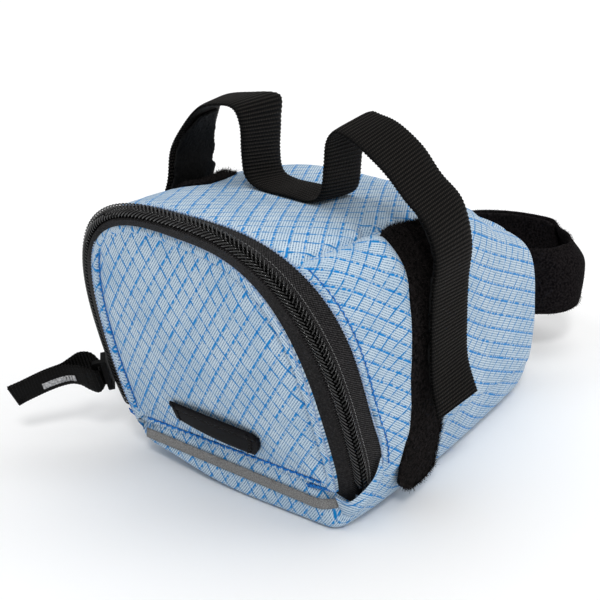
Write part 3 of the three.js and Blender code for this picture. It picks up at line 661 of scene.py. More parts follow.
def panel_rows(col_of):
    """Rows of the body's surface from the zipper tape to the nose's tip, for columns that follow the rows."""
    first = col_of(np.zeros(1))[0]
    behind = np.where(np.abs(first) >= FOOT_COLUMN, 0, TAPE_OUTER_WIDE * tape_share(first) - HEM_LAP)
    start = np.where(behind > 0, row_at_distance(np.maximum(behind, 0.01), first), 0)
    spread = np.linspace(0, 1, BODY_STATIONS) ** STATION_POWER
    at = start[None] + (LAST_ROW - start[None]) * spread[:, None]
    cols = np.stack([col_of(at[:, j])[:, j] for j in range(at.shape[1])], 1)
    last = col_of(np.full(1, float(LAST_ROW)))[0][None]
    return np.concatenate([body_point(at, cols), nose_point(nose_turns(), last + 0 * nose_turns())])


def panel_length(p, middle):
    """Length along the bag: Y on the body, then the way round the nose along one column."""
    step = arc(p[BODY_STATIONS - 1:], 0)[1:, middle]
    body = p[:BODY_STATIONS, :, 1]
    return np.concatenate([body, body[-1:] + step[:, None]])


def side_height(p, middle):
    """Height on a side panel, which runs on below zero over the base."""
    girth = arc(p, 1)
    height = p[:, middle:middle + 1, 2] - (girth - girth[:, middle:middle + 1])
    last = height[BODY_STATIONS - 1:BODY_STATIONS]
    height[BODY_STATIONS:] = NOSE.middle + (last - NOSE.middle) * nose_close(nose_turns(), last)
    return height


# Folds of the body's cloth: depths and heights, places in Y, Z or below the top seam, and widths
SEAM_DITCH = Named(depth=0.35, more_behind=0.75, wide=1.1)
BEHIND = (-34, 10)
PUFF = Named(high=1.5, rises=(0, 4), falls=(8, 26))
BAND_FOLD = Named(high=1.5, y=-37.5, wide=4.2, z=(12, 34), below=(-1, -6))
TUCK = Named(depth=2.6, y=-33.5, wide=3.4, below=-1.0, tall=3.2)
SHOULDER = Named(depth=2.0, y=(22, 42), wide=7.0)
CALM = Named(share=0.3, z=(2, 12))
BODY_RIPPLE = Named(high=0.28, z=(1, 8), seed=3)
# How strongly the left and the right side fold
SIDE_FOLDS = {-1: 0.1, 1: 1.0}
# The cloth's edge at the zipper: lift over the tape, dip of its very edge, and the groove of its stitches
BODY_HEM = Named(lift=0.55, lifted=0.9, dip=0.75, dipped=0.7, groove=0.35, stitched=2.6, wide=0.5,
                 free=(1, 9))


def body_fold(p, below, side):
    """Outward push of the cloth for its folds, at a distance below the top seam (negative above it)."""
    y, z = p[..., 1], p[..., 2]
    rear = 1 - smooth(y, *BEHIND)
    push = -(SEAM_DITCH.depth + SEAM_DITCH.more_behind * rear) * hump(below, 0, SEAM_DITCH.wide)
    puff = smooth(below, *PUFF.rises) * (1 - smooth(below, *PUFF.falls))
    push += PUFF.high * rear * puff * side
    by_band = hump(y, BAND_FOLD.y, BAND_FOLD.wide) * smooth(z, *BAND_FOLD.z)
    push += BAND_FOLD.high * by_band * (1 - smooth(below, *BAND_FOLD.below)) * side
    push -= TUCK.depth * hump(y, TUCK.y, TUCK.wide) * hump(below, TUCK.below, TUCK.tall)
    push -= SHOULDER.depth * smooth(y, *SHOULDER.y) * hump(np.maximum(below, 0), 0, SHOULDER.wide)
    calmed = push * mix(CALM.share, 1, smooth(z, *CALM.z))
    return calmed + ripples(p, BODY_RIPPLE.high, BODY_RIPPLE.seed) * smooth(z, *BODY_RIPPLE.z)


def body_panel(col_of, side, below):
    """One panel before and after its folds. Distances below the top seam come from the way across."""
    flat = panel_rows(col_of)
    edge = np.linalg.norm(flat - flat[:1], axis=-1)
    first = col_of(np.zeros(1))[0][None]
    hem = np.where(np.abs(first) < FOOT_COLUMN, 1, 0)
    lift = BODY_HEM.lift * smooth(edge, 0, BODY_HEM.lifted)
    lift = lift - BODY_HEM.dip * tape_share(first) * (1 - smooth(edge, 0, BODY_HEM.dipped))
    lift = lift - BODY_HEM.groove * hump(edge, BODY_HEM.stitched, BODY_HEM.wide)
    push = body_fold(flat, below(arc(flat, 1)), side) * smooth(edge, *BODY_HEM.free) + hem * lift
    return flat, flat + outward_normals(flat) * push[..., None]


def seam_column(at):
    return curve(TOP_SEAM, at)[..., 0]


def top_columns(at):
    return seam_column(at)[:, None] * np.linspace(-1, 1, TOP_STEPS + 1)[None]


def side_columns(sign):
    spread = np.linspace(0, 1, SIDE_STEPS + 1)[None]
    return lambda at: sign * (seam_column(at)[:, None] * (1 - spread) + LAST_COLUMN * spread)


def top_below(across):
    return np.maximum(-across, across - across[:, -1:])


# Lower lip: rings from the rim plane back and up to the seam, as depth and share
LIP_RINGS = [(0, 0), (0.5, 0), (0.88, 0.05), (1, 0.2), (1, 0.6), (1, 1)]
LIP_STEPS = 36
LIP_LAP = Named(up=0.4, back=0.2)


def lip_surface():
    low = np.linspace(FOOT_COLUMN, LAST_COLUMN, 90)
    arc_cols = np.concatenate([low, -low[-2::-1]])
    feet = RIM_FOOT[0] - TAPE_INNER[-1][0], -RIM_FOOT[0] + TAPE_INNER[0][0]
    edge = body_point(0, arc_cols)[None]
    rings = np.clip(whole_curve(LIP_RINGS, LIP_STEPS), 0, 1)[:, None]
    across = np.linspace(*feet, len(arc_cols))
    seam = rear_point(across, SEAM.up + LIP_LAP.up, SEAM.back + LIP_LAP.back)[None]
    p = edge + (seam - edge) * rings[..., 1:]
    full = smooth(np.abs(arc_cols), FOOT_COLUMN, FOOT_COLUMN + 2)[None]
    y = mix(p[..., 1], mix(edge[..., 1], lip_y(p[..., 2]), rings[..., 0]), full)
    return np.stack([p[..., 0], y, p[..., 2]], -1)


# Facing that closes over the zipper's two ends, from the body's tape round to the corner: places of its free
# edge, middle and sewn edge on the right. The left one is mirrored, with its free edge further forward and in
FACING = [
    ((52.6, -48.6, 26.4), (52.4, -47.2, 20.4), (50.6, -46.5, 14.0)),
    ((52.8, -52.0, 21.2), (51.9, -50.8, 14.6), (47.8, -49.3, 8.6)),
    ((51.2, -55.8, 17.0), (49.9, -55.0, 10.8), (45.4, -52.2, 5.6)),
    ((48.0, -58.6, 13.6), (47.0, -57.2, 9.4), (44.3, -53.6, 5.0)),
    ((42.2, -57.8, 13.2), (42.6, -56.4, 9.6), (43.4, -54.8, 5.4)),
]
FACING_STEPS, FACING_LINES = 49, 17
FACING_TURN_IN = (-0.4, 1.2, -0.9)
FACING_LEFT_FORWARD = (0, 2.6, 6.0, 7.0, 5.0)
FACING_LEFT_IN = (1.0, 2.2, 2.6, 1.8, 0)


def facing_surface(sign):
    table = np.array(FACING)
    if sign < 0:
        table[..., 1] += np.outer(FACING_LEFT_FORWARD, (1, 0.6, 0))
        table[..., 0] -= np.outer(FACING_LEFT_IN, (1, 0.8, 0.3))
    lines = whole_curve(table.reshape(len(FACING), -1), FACING_STEPS)
    across = lines.reshape(-1, 3, 3).swapaxes(0, 1).reshape(3, -1)
    p = whole_curve(across, FACING_LINES).reshape(FACING_LINES, -1, 3)
    p = np.concatenate([p[:1] + FACING_TURN_IN, p])
    return dented(p * [sign, 1, 1])


def body_sheets():
    flat, top = body_panel(top_columns, 0, top_below)
    parts = [sheet(top, phases(panel_length(flat, TOP_STEPS // 2), flat[..., 0], "top"))]
    for sign in (-1, 1):
        flat, side = body_panel(side_columns(sign), SIDE_FOLDS[sign], lambda across: across)
        along, height = panel_length(flat, SIDE_MIDDLE), side_height(flat, SIDE_MIDDLE)
        uv = phases(along, height, "side")
        uv[..., 0] = phases(draped(along), height, "side")[..., 0]
        parts.append(sheet(side, uv))
    lip = lip_surface()
    lip_height = lip[..., 2] - np.maximum(lip[..., 1] - lip_y(lip[..., 2]), 0)
    parts.append(sheet(lip, phases(lip_height, lip[..., 0], "rear")))
    for sign in (-1, 1):
        facing = facing_surface(sign)
        parts.append(sheet(facing, phases(facing[..., 1], facing[..., 2], "side")))
    return parts


body_cloth = make("body_cloth", body_sheets(), RIPSTOP, ["body_shell"])

# Rear flap: domed cloth with a folded hem along the zipper

# Folded hem on the left and on the right, and along the flap's foot: its width and the depth of its groove,
# which is shallow over the top and fades out above the lower seam
HEM = Named(wide=(2.7, 3.3), depth=(1.1, 2.6), right=(-20, 20), ease=2.6, foot_wide=1.7, foot_depth=0.5,
            groove=0.55, roll=0.45, shallow=0.75, over_top=(66, 80), fade=8, uv=2.1)
# The hem's very edge, turned in: how much wider, further out and further down it lies
HEM_TURN_IN = Named(wider=1.006, out=0.3, down=1.4)
FLAP_RIPPLE = Named(high=0.22, seed=5, rise=(0.02, 0.15))
FLAP_STAND = 0.6
RIM_COUNT = 360
FOOT_COUNT = 138
HEM_RINGS, FLAP_RINGS, RING_POWER = 14, 76, 1.8


def flap_outline():
    rim = np.stack(flap_edge(rim_places(RIM_COUNT)))
    low = np.linspace(rim[0, -1], rim[0, 0], FOOT_COUNT + 2)[1:-1]
    seam = np.stack(np.broadcast_arrays(low, SEAM.up, SEAM.back))
    return np.concatenate([rim, seam, rim[:, :1]], 1)


FLAP_EDGE = flap_outline()


def flap_reach():
    """Distance of each edge line from the flap's middle, square to the edge."""
    x, up, _ = FLAP_EDGE
    ax, au = np.roll(x, -1) - np.roll(x, 1), np.roll(up, -1) - np.roll(up, 1)
    square = np.abs((up - FLAP.middle_up) * ax - x * au) / np.hypot(ax, au).clip(1e-6)
    return np.maximum(square, 0.6 * np.hypot(x, up - FLAP.middle_up))


FLAP_REACH = flap_reach()


def flap_rows(inset, lift):
    """Rows of the flap at distances from its edge, pushed out by a lift."""
    share = (1 - inset / FLAP_REACH[None]).clip(0.004)
    x = FLAP_EDGE[0][None] * share
    up = mix(FLAP.middle_up, FLAP_EDGE[1][None], share)
    back = mix(FLAP.crown, FLAP_EDGE[2][None], share ** FLAP.dome) + FLAP_STAND
    waves = ripples(rear_point(x, up, back), FLAP_RIPPLE.high, FLAP_RIPPLE.seed)
    return x, up, back + lift + waves * smooth(1 - share, *FLAP_RIPPLE.rise)


AT_FOOT = np.arange(len(FLAP_EDGE[0])) > RIM_COUNT
ON_RIGHT = smooth(FLAP_EDGE[0], *HEM.right)
GROOVED = 1 - HEM.shallow * smooth(FLAP_EDGE[1], *HEM.over_top)
GROOVED = GROOVED * smooth(FLAP_EDGE[1], SEAM.up, SEAM.up + HEM.fade)
HEM_WIDE = np.where(AT_FOOT, HEM.foot_wide, mix(*HEM.wide, ON_RIGHT))
HEM_DEPTH = np.where(AT_FOOT, HEM.foot_depth, mix(*HEM.depth, ON_RIGHT) * GROOVED)


def flap_hem():
    """Rows from the turned-in edge to the groove, and their UV coordinates."""
    t = np.linspace(0, 1, HEM_RINGS)[:, None]
    lift = HEM.roll * np.sin(math.pi * t) - HEM_DEPTH * hump(HEM_WIDE * (1 - t), 0, HEM.groove)
    x, up, back = flap_rows(HEM_WIDE * t, lift)
    out = HEM_TURN_IN.out * np.sign(up[:1] - FLAP.middle_up)
    turned_in = rear_point(x[:1] * HEM_TURN_IN.wider, up[:1] + out, back[:1] - HEM_TURN_IN.down)
    uv = phases(np.concatenate([up[:1], up]), HEM.uv - np.concatenate([x[:1], x]), "rear")
    return np.concatenate([turned_in, rear_point(x, up, back)]), uv


def flap_panel():
    """Rows from the groove to the flap's middle: x, up and back."""
    inner = (FLAP_REACH - HEM_WIDE) * np.linspace(0, 1, FLAP_RINGS)[:, None] ** RING_POWER
    return flap_rows(HEM_WIDE + inner, -HEM_DEPTH * np.exp(-inner / HEM.ease))


hem_strip, hem_uv = flap_hem()
panel_x, panel_up, panel_back = flap_panel()
flap_sheets = [sheet(hem_strip, hem_uv),
               sheet(rear_point(panel_x, panel_up, panel_back), phases(panel_up, panel_x, "rear"))]
flap_cloth = make("flap_cloth", flap_sheets, RIPSTOP, ["rear_panel"])

# Zipper tapes: the flap's and the body's, which run on under the cloth and under the coil

UNDER = 1.6
TAPE_TAIL = 4.0
TAPE_STEPS = 20
TAPE_THICK = 0.5
# The flap's tape: gap beside the coil, rise there, sink under the flap, bow between, and its two rows under
# the coil as across and rise
INNER_TAPE = Named(gap=0.2, rise=-0.3, sink=0.2, bow=0.45, hidden=((0.3, -1.15), (-1.6, -1.1)))
# The body's tape: first distance from the rim, depth of its turned-in edge, sink, more sink under the cloth
OUTER_TAPE = Named(first=0.3, turned_in=1.1, sink=0.15, more=0.95, under=(0.77, 0.97))


def inner_tape():
    place = rim_places(RIM_COUNT, TAPE_TAIL)
    x, up, back = flap_edge(place)
    hidden = [coil_point(place, *row)[None] for row in INNER_TAPE.hidden]
    near = coil_point(place, -COIL.wide / 2 - INNER_TAPE.gap, INNER_TAPE.rise)
    under_up = np.maximum(up - UNDER * place["out_up"], SEAM.up - 1)
    under = rear_point(x - UNDER * place["out_x"], under_up, back - INNER_TAPE.sink)
    t = np.linspace(0, 1, TAPE_STEPS)[:, None, None]
    bow = INNER_TAPE.bow * np.sin(t * math.pi)
    return np.concatenate([*hidden, near + (under - near) * t + bow * REAR_NORMAL])


def outer_tape():
    cols = np.linspace(-FOOT_COLUMN + 0.02, FOOT_COLUMN - 0.02, 380)
    far = (TAPE_OUTER_WIDE + UNDER) * tape_share(cols)
    steps = np.linspace(0, 1, TAPE_STEPS)
    rows = [np.maximum(mix(OUTER_TAPE.first, far, t), 0.02) for t in steps]
    p = np.stack([body_point(row_at_distance(row, cols), cols) for row in rows])
    n = outward_normals(p)
    sink = OUTER_TAPE.sink + OUTER_TAPE.more * smooth(steps, *OUTER_TAPE.under)
    return np.concatenate([(p[0] - n[0] * OUTER_TAPE.turned_in)[None], p - n * sink[:, None, None]])[::-1]


for name, tape, node in (("zip_tape_flap", inner_tape(), "zipper_tape_inner"),
                         ("zip_tape_body", outer_tape(), "zipper_tape_outer")):
    make(name, slab(tape, TAPE_THICK), ZIP_TAPE, [node])

# Zipper coil: two spirals of round filament whose heads mesh in the middle

TOOTH = Named(pitch=1.6, radius=0.26, steps=14, reach=1.05, middle=1.02, high=1.05, tilt=0.3, seat=-0.05,
              lean={-1: 1.0, 1: 0.45}, short=3.0, cord=0.5, cord_step=7)
PLACE_KEYS = ("x", "up", "out_x", "out_up", "t")


def coil_row(sign, shift):
    """Filament of one half of the coil, and the cord inside it."""
    length = rim_places(2)["length"]
    turns = int(length / TOOTH.pitch) - 1
    phase = np.arange(turns * TOOTH.steps + 1) / TOOTH.steps + shift
    angle = 2 * math.pi * phase
    along = (phase + 0.5) / (turns + 1.5)
    along = TOOTH.short / length + along * (1 - 2 * TOOTH.short / length)
    along = along - TOOTH.lean[sign] * TOOTH.pitch / length * np.cos(angle)
    rim = rim_places(3000)
    place = {key: np.interp(along, rim["t"], rim[key]) for key in PLACE_KEYS}
    across = sign * (TOOTH.middle + TOOTH.reach * np.cos(angle))
    rise = TOOTH.high * np.sin(angle) - TOOTH.tilt * np.cos(angle)
    cord = coil_point(place, sign * TOOTH.middle + 0 * along, TOOTH.seat + 0 * along)
    return coil_point(place, across, rise + TOOTH.seat), cord[::TOOTH.cord_step]


for name, sign, shift in (("zip_coil_flap", -1, 0.0), ("zip_coil_body", 1, 0.5)):
    path, cord = coil_row(sign, shift)
    threads = [tubes(path[None], TOOTH.radius, 6), tubes(cord[None], TOOTH.cord, 8)]
    piece = make(name, threads, PLAIN["zip_coil"])
    if sign < 0:
        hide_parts("zipper_coil")

# Stitches

# Rows of stitches: pitch, share of the pitch that is thread, radius of the thread
STITCHES = {
    "zip": (1.3, 0.75, 0.09),
    "tab": (2.1, 0.75, 0.16),
    "seam": (2.6, 0.95, 0.34),
    # The groove's row is partly real stitching and partly painted shade: its dark thread stands in for the
    # groove's shadow
    "groove": (1.8, 0.9, 0.24),
    "side": (2.6, 0.95, 0.24),
    "cut_edge": (1.2, 0.8, 0.24),
}
STITCH_STEPS, STITCH_SINK = 8, 0.25


def spaced(path, step):
    """Points at equal steps along a path."""
    length = path_run(path)
    return at_lengths(path, length, np.arange(0, length[-1], step))


def stitch_row(path, normal, kind):
    """Stitches along a path: short bowed tubes that dip into the cloth at their ends."""
    pitch, fill, radius = STITCHES[kind]
    dense = spaced(path, pitch / STITCH_STEPS)
    count = (len(dense) - 1) // STITCH_STEPS
    steps = int(STITCH_STEPS * fill) + 1
    index = (np.arange(count) * STITCH_STEPS)[:, None] + np.arange(steps)[None]
    n = at_lengths(np.broadcast_to(normal, path.shape), path_run(path), index * pitch / STITCH_STEPS)
    bow = np.sin(np.linspace(0, math.pi, steps))[None, :, None] * (radius + STITCH_SINK) - STITCH_SINK
    return tubes(dense[index] + n * bow, radius, 5)


def path_on_body(cols, distance):
    """Path on the body at distances from the rim, and the way out of the cloth."""
    path = body_point(row_at_distance(distance, cols), cols)
    return path, unit(path * [1, 0, 1] - BODY_MIDDLE)


# Stitches on the right half of the body's tape: distances from the rim at the top and further down
ZIP_LINE = Named(distance=(3.4, 2.0), cols=(1, 6))


def zip_stitches():
    cols = np.linspace(0.5, FOOT_COLUMN - 0.4, 200)
    distance = mix(*ZIP_LINE.distance, smooth(cols, *ZIP_LINE.cols)) * tape_share(cols)
    return stitch_row(*path_on_body(cols, distance), "zip")


make("zip_stitches", zip_stitches(), PLAIN["grey_thread"])

# Light tab on the flap: flat folded tape. Corners as x and up on the flap
TAB = Named(upper=((-17.2, 23.4), (16.6, 21.8)), lower=((-16, 15.8), (14.4, 11.8)), arch=1.0, bulge=2.2,
            bow=0.8, thick=1.5, clear=0.5, fold=0.45, crease=0.25)
TAB_ROWS, TAB_COLUMNS = 97, 25
TAB_MIDDLE = TAB_COLUMNS // 2
TAB_TACK = Named(rows=(5, 90), v=(-0.8, 0.85), count=13, wide=0.6, lift=0.12, step=0.4, radius=0.2)
TAB_LINE = Named(first=3, last=94, column=18, lift=0.05)


def tab_surface():
    s = np.linspace(-1, 1, TAB_ROWS)[:, None]
    v = np.linspace(-1, 1, TAB_COLUMNS)[None]
    upper, lower = ([mix(*ends, (s + 1) / 2) for ends in zip(*edge)] for edge in (TAB.upper, TAB.lower))
    x = mix(lower[0], upper[0], (v + 1) / 2) + TAB.bulge * smooth(s, 0.7, 1) * (1 - v**2)
    up = mix(lower[1], upper[1], (v + 1) / 2) + TAB.arch * (1 - s**2) * (v + 1) / 2
    lines = [flap_back(x[:, k:k + 1], up[:, k:k + 1], FLAP_EDGE) for k in (0, TAB_MIDDLE, TAB_COLUMNS - 1)]
    back = np.maximum.reduce(lines) + TAB.clear + TAB.thick + TAB.bow * (1 - s**2)
    back = back + TAB.fold * smooth(v, 0.35, 0.6) - TAB.crease * hump(v, 0.42, 0.07)
    return rear_point(x, up, back)


tab = tab_surface()
make("light_tab", slab(tab, TAB.thick, way_uv(tab, 0), 0.7), PLAIN["light_tab"], ["light_loop"])


def tab_tack(row):
    """Zigzag of thread across the tab near one of its ends."""
    v = np.linspace(*TAB_TACK.v, TAB_TACK.count)
    k = ((v + 1) / 2 * (TAB_COLUMNS - 1)).round().astype(int)
    shift = np.where(np.arange(len(v)) % 2, TAB_TACK.wide, -TAB_TACK.wide)
    ahead = unit(tab[row + 1, TAB_MIDDLE] - tab[row, TAB_MIDDLE])
    points = tab[row, k] + shift[:, None] * ahead + REAR_NORMAL * TAB_TACK.lift
    return tubes(spaced(points, TAB_TACK.step)[None], TAB_TACK.radius, 5)


tab_line = tab[TAB_LINE.first:TAB_LINE.last, TAB_LINE.column] + REAR_NORMAL * TAB_LINE.lift
tab_threads = [tab_tack(row) for row in TAB_TACK.rows] + [stitch_row(tab_line, REAR_NORMAL, "tab")]
make("tab_stitches", tab_threads, PLAIN["black_thread"])

# Reflective strip on the lower lip. Its right end rises and turns forward between two places in X
STRIP = Named(left=-36.5, right=41.4, low=6.6, high=10.0, rise=2.4, thick=0.5, clear=0.35, end_rise=0.9,
              end=(33, 41), forward=3.4, turn=(36.5, 42.5), turn_power=1.3)


def strip_surface():
    x = np.linspace(STRIP.left, STRIP.right, 160)[:, None]
    v = np.linspace(0, 1, 7)[None]
    rise = STRIP.rise * (STRIP.right - x) / (STRIP.right - STRIP.left)
    z = mix(STRIP.high, STRIP.low, v) + rise + STRIP.end_rise * smooth(x, *STRIP.end)
    forward = STRIP.forward * smooth(x, *STRIP.turn) ** STRIP.turn_power
    y = lip_y(z) - STRIP.clear - STRIP.thick + forward
    return np.stack([x + 0 * z, y, z], -1)[:, ::-1]


strip = strip_surface()
make("reflective_tape", slab(strip, STRIP.thick, way_uv(strip, 0)), PLAIN["reflective"],
     ["reflective_strip"])

# Ribs of the webbing and the ribbon

RIB_STEPS, RIB_POWER, RIB_MEAN = 5, 0.8, 0.6


def ribs(phase):
    return np.abs(np.sin(math.pi * phase)) ** RIB_POWER


def scallops(rib, v):
    """Wavy outline of a ribbed strip: where its two edges lie further out or in."""
    return (rib - 0.5) * np.sign(v) * (np.abs(v) > 0.95)


# Rail strap: ribbed webbing. Path from the left end to the right end seen from the rear: x, z, and how far
# down and to the right its front edge lies
STRAP = Named(rear=-30.0, front=-11.0, thick=1.6, slim=0.25, rib=1.15, height=0.34, scallop=0.22,
              yarn=0.78)
STRAP_WIDE = STRAP.front - STRAP.rear
STRAP_PATH = [
    (-60.5, 36, 0, 0), (-58, 48, 0, 0), (-57, 62, 0, 0), (-54.8, 76, 0, 1.2), (-50.6, 88, 0.5, 2.2),
    (-48.9, 99, 1, 1.6), (-43.6, 108, 1, -1.8), (-36.2, 115.8, 1, -5), (-27, 118.9, 0.6, -2),
    (-20.8, 118.4, -1, 3.5), (-17.6, 113, 2, 1), (-17, 104, 3, 0), (-15.6, 97, 2.6, 0), (-10, 94.2, 1.6, 0),
    (0, 94.2, 1.4, 0), (9, 94.2, 1.6, 0), (13.6, 97.6, 2.4, 0), (14.8, 106, 2, 0), (15.6, 114, -0.5, 0),
    (18.5, 118, -2.2, 0), (23, 118, -2.2, 0), (30, 114.8, -3.8, 0), (39, 109, -4.2, 0), (46, 102.6, -3.4, 0),
    (54.3, 95.5, -3.5, 0), (58.3, 85.5, -1, 0), (57.6, 74, 0, 0), (57.6, 60, -0.8, 0), (58.4, 46, -2.2, 0),
    (60.8, 34.2, -3.6, 1.5),
]
STRAP_LAST = len(STRAP_PATH) - 1


def strap_rows(first, last, step, inset, across, depth=0.0):
    """Outer face of the strap between two path rows, with rows at equal steps of length."""
    dense = np.linspace(first, last, 4000)
    length = path_run(curve(STRAP_PATH, dense)[:, :2])
    run = np.arange(0, length[-1], step)
    at = np.interp(run, length, dense)
    path = curve(STRAP_PATH, at)
    share = np.linspace(inset / STRAP_WIDE, 1 - inset / STRAP_WIDE, across)[None]
    ahead = curve(STRAP_PATH, np.minimum(at + 0.05, STRAP_LAST)) - curve(STRAP_PATH, np.maximum(at - 0.05, 0))
    ahead = unit(ahead[:, :2])
    x = path[:, :1] + path[:, 3:] * share + depth * ahead[:, 1:]
    z = path[:, 1:2] - path[:, 2:3] * share - depth * ahead[:, :1]
    return np.stack([x, STRAP.rear + STRAP_WIDE * share + 0 * x, z], -1), run


def rail_webbing():
    p, run = strap_rows(0, STRAP_LAST, STRAP.rib / RIB_STEPS, 0, 17)
    phase = run[:, None] / STRAP.rib
    v = np.linspace(-1, 1, p.shape[1])[None]
    swell = STRAP.height * (ribs(phase) - RIB_MEAN)
    p = p + grid_normals(p) * swell[..., None]
    p[..., 1] += STRAP.scallop * scallops(ribs(phase), v)
    uv = np.stack(np.broadcast_arrays(phase, v * STRAP_WIDE / 2 / STRAP.yarn), -1)
    return slab(p, STRAP.thick - STRAP.slim + 2 * swell, uv, 0.6)


make("rail_webbing", rail_webbing(), WEB, ["rail_strap"])

# Hook tape on the inner face of the strap's two ends, from one path row to another, narrower at its upper end
HOOK = Named(inset=1.2, first=0.4, last=6.6, thick=1.1, round=14, narrow=0.3, step=0.5, clear=0.1)
HOOK_ROUGH = Named(face=0.05, edge=0.35, edge_step=5, thick=0.06)
# Side, first and last path row, seed
HOOK_ENDS = [
    ("left", HOOK.first, HOOK.last, 21),
    ("right", STRAP_LAST - HOOK.last, STRAP_LAST - HOOK.first, 22),
]


def hook_tape(first, last, upward, seed):
    p, run = strap_rows(first, last, HOOK.step, HOOK.inset, 41, STRAP.thick + HOOK.clear)
    rng = np.random.default_rng(seed)
    p = p + grid_normals(p) * rng.normal(0, HOOK_ROUGH.face, p.shape[:2])[..., None]
    knots = np.arange(0, len(p), HOOK_ROUGH.edge_step)
    ragged = np.interp(np.arange(len(p)), knots, rng.normal(0, HOOK_ROUGH.edge, len(knots)))
    p[:, 0, 1] += ragged
    p[:, -1, 1] -= ragged[::-1]
    ends = 1 - smooth(run[-1] - run if upward else run, 0, HOOK.round)
    middle = (STRAP.rear + STRAP.front) / 2
    p[..., 1] += (middle - p[..., 1]) * HOOK.narrow * ends[:, None]
    return slab(p, HOOK.thick + rng.normal(0, HOOK_ROUGH.thick, p.shape[:2]), way_uv(p, 0), 0.3)


for name, first, last, seed in HOOK_ENDS:
    tape = hook_tape(first, last, name == "left", seed)
    make(f"hook_tape_{name}", tape, PLAIN["hook_tape"], [f"hook_patch_{name}"])

# Loop tape: soft backing with a pile of fine loops

# Bands on the left and right side: first column, last column at the edges and how much further it reaches in
# the middle and in front, flare of the rear edge, how straight the lower end is, sink of the upper end
BAND = Named(rear=-34.8, front=-15.0, first={-1: 2.05, 1: 3.4}, last=11.0, round=0.6, slant=0.6,
             flare=3.2, flare_from=0.4, clear=0.45, thick=1.7, free_from=0.85, free={-1: 0, 1: 0.65},
             sink={-1: (1.1, 0.1), 1: (-1.7, 0.4)})


def band_surface(side):
    t = np.linspace(0, 1, 120)[:, None]
    v = np.linspace(-1, 1, 33)[None]
    first = BAND.first[side]
    last = BAND.last + BAND.round * (1 - v**2) + BAND.slant * (v + 1) / 2
    cols = side * (first + (last - first) * t)
    rear = BAND.rear - BAND.flare * smooth(t, BAND.flare_from, 1)
    at = row_at_y(mix(rear, BAND.front, (v + 1) / 2), cols)
    step = 0.02
    along = body_point(at + step, cols) - body_point(at - step, cols)
    down = body_point(at, cols + step) - body_point(at, cols - step)
    sink, sink_end = BAND.sink[side]
    stand = BAND.clear + BAND.thick - sink * (1 - smooth(t, 0, sink_end))
    p = body_point(at, cols) + unit(np.cross(down, along)) * (stand + 0 * v)[..., None]
    start = int(BAND.free_from * (len(t) - 1))
    straight = p[start] + (p[start] - p[start - 1]) * (np.arange(len(t)) - start)[:, None, None]
    return mix(p, straight, BAND.free[side] * smooth(t, BAND.free_from, 1)[..., None])


# Fibres: how far they lean on a face and at an edge, bend, least and largest share of length, seat, taper
FIBRE = Named(lean=0.8, edge_lean=0.7, bend=0.35, size=(0.55, 1.25), seat=0.2, taper=0.5)


def pile(p, outward, count, long, radius, seed, lean=FIBRE.lean):
    """Bowed fibres that stand on a surface."""
    rng = np.random.default_rng(seed)
    i, j = rng.uniform(0, p.shape[0] - 1.001, count), rng.uniform(0, p.shape[1] - 1.001, count)
    a, b = i.astype(int), j.astype(int)
    f, g = (i - a)[:, None], (j - b)[:, None]

    def sample(q):
        low = q[a, b] * (1 - f) + q[a + 1, b] * f
        return low * (1 - g) + (q[a, b + 1] * (1 - f) + q[a + 1, b + 1] * f) * g

    root, n = sample(p), unit(sample(outward))
    tilt = unit(n + lean * rng.normal(size=(count, 3)))
    bend = rng.normal(size=(count, 3)) * FIBRE.bend
    size = long * rng.uniform(*FIBRE.size, count)[:, None]
    t = np.linspace(0, 1, 3)[None, :, None]
    path = root[:, None] + (tilt * size)[:, None] * t + (bend * size)[:, None] * t * t
    return tubes(path - n[:, None] * FIBRE.seat, radius, 3, FIBRE.taper)


def edge_pile(p, edges, count, long, radius, seed):
    """Fibres that stand out from some edges of a surface: rear, front, top and foot."""
    cuts = {"rear": (p[:, :2], p[:, 0] - p[:, 1]), "front": (p[:, -2:], p[:, -1] - p[:, -2]),
            "top": (p[:2].swapaxes(0, 1), p[0] - p[1]), "foot": (p[-2:].swapaxes(0, 1), p[-1] - p[-2])}
    total = sum(len(cuts[edge][0]) for edge in edges)
    parts = []
    for k, edge in enumerate(edges):
        cut, away = cuts[edge]
        face = np.broadcast_to(unit(away)[:, None], cut.shape)
        share = int(count * len(cut) / total)
        parts.append(pile(cut, face, share, long, radius, seed + k, FIBRE.edge_lean))
    return parts


# Pile of the bands: count, length and radius of the fibres on the face, and of two fringes at the edges
BAND_PILE = (4200, 0.75, 0.07)
BAND_FRINGES = [(3200, 0.9, 0.07), (700, 1.5, 0.05)]

for side, name in ((-1, "left"), (1, "right")):
    band = band_surface(side)
    base = band[::-1] if side < 0 else band
    tape = slab(base, BAND.thick)
    make(f"loop_tape_{name}", tape, PLAIN["loop_tape"], [f"loop_band_{name}"])
    inside = body_point(3.0, side * 8.0) * [0, 1, 1]
    fibres = [pile(band, outward_normals(band, inside), *BAND_PILE, 31 + side)]
    for k, fringe in enumerate(BAND_FRINGES):
        fibres += edge_pile(band, ("front", "top", "foot"), *fringe, 41 + side + 10 * k)
    make(f"loop_fuzz_{name}", fibres, PLAIN["loop_fuzz"])

# Post strap: soft loop tape round the seat post, overlapping itself in front

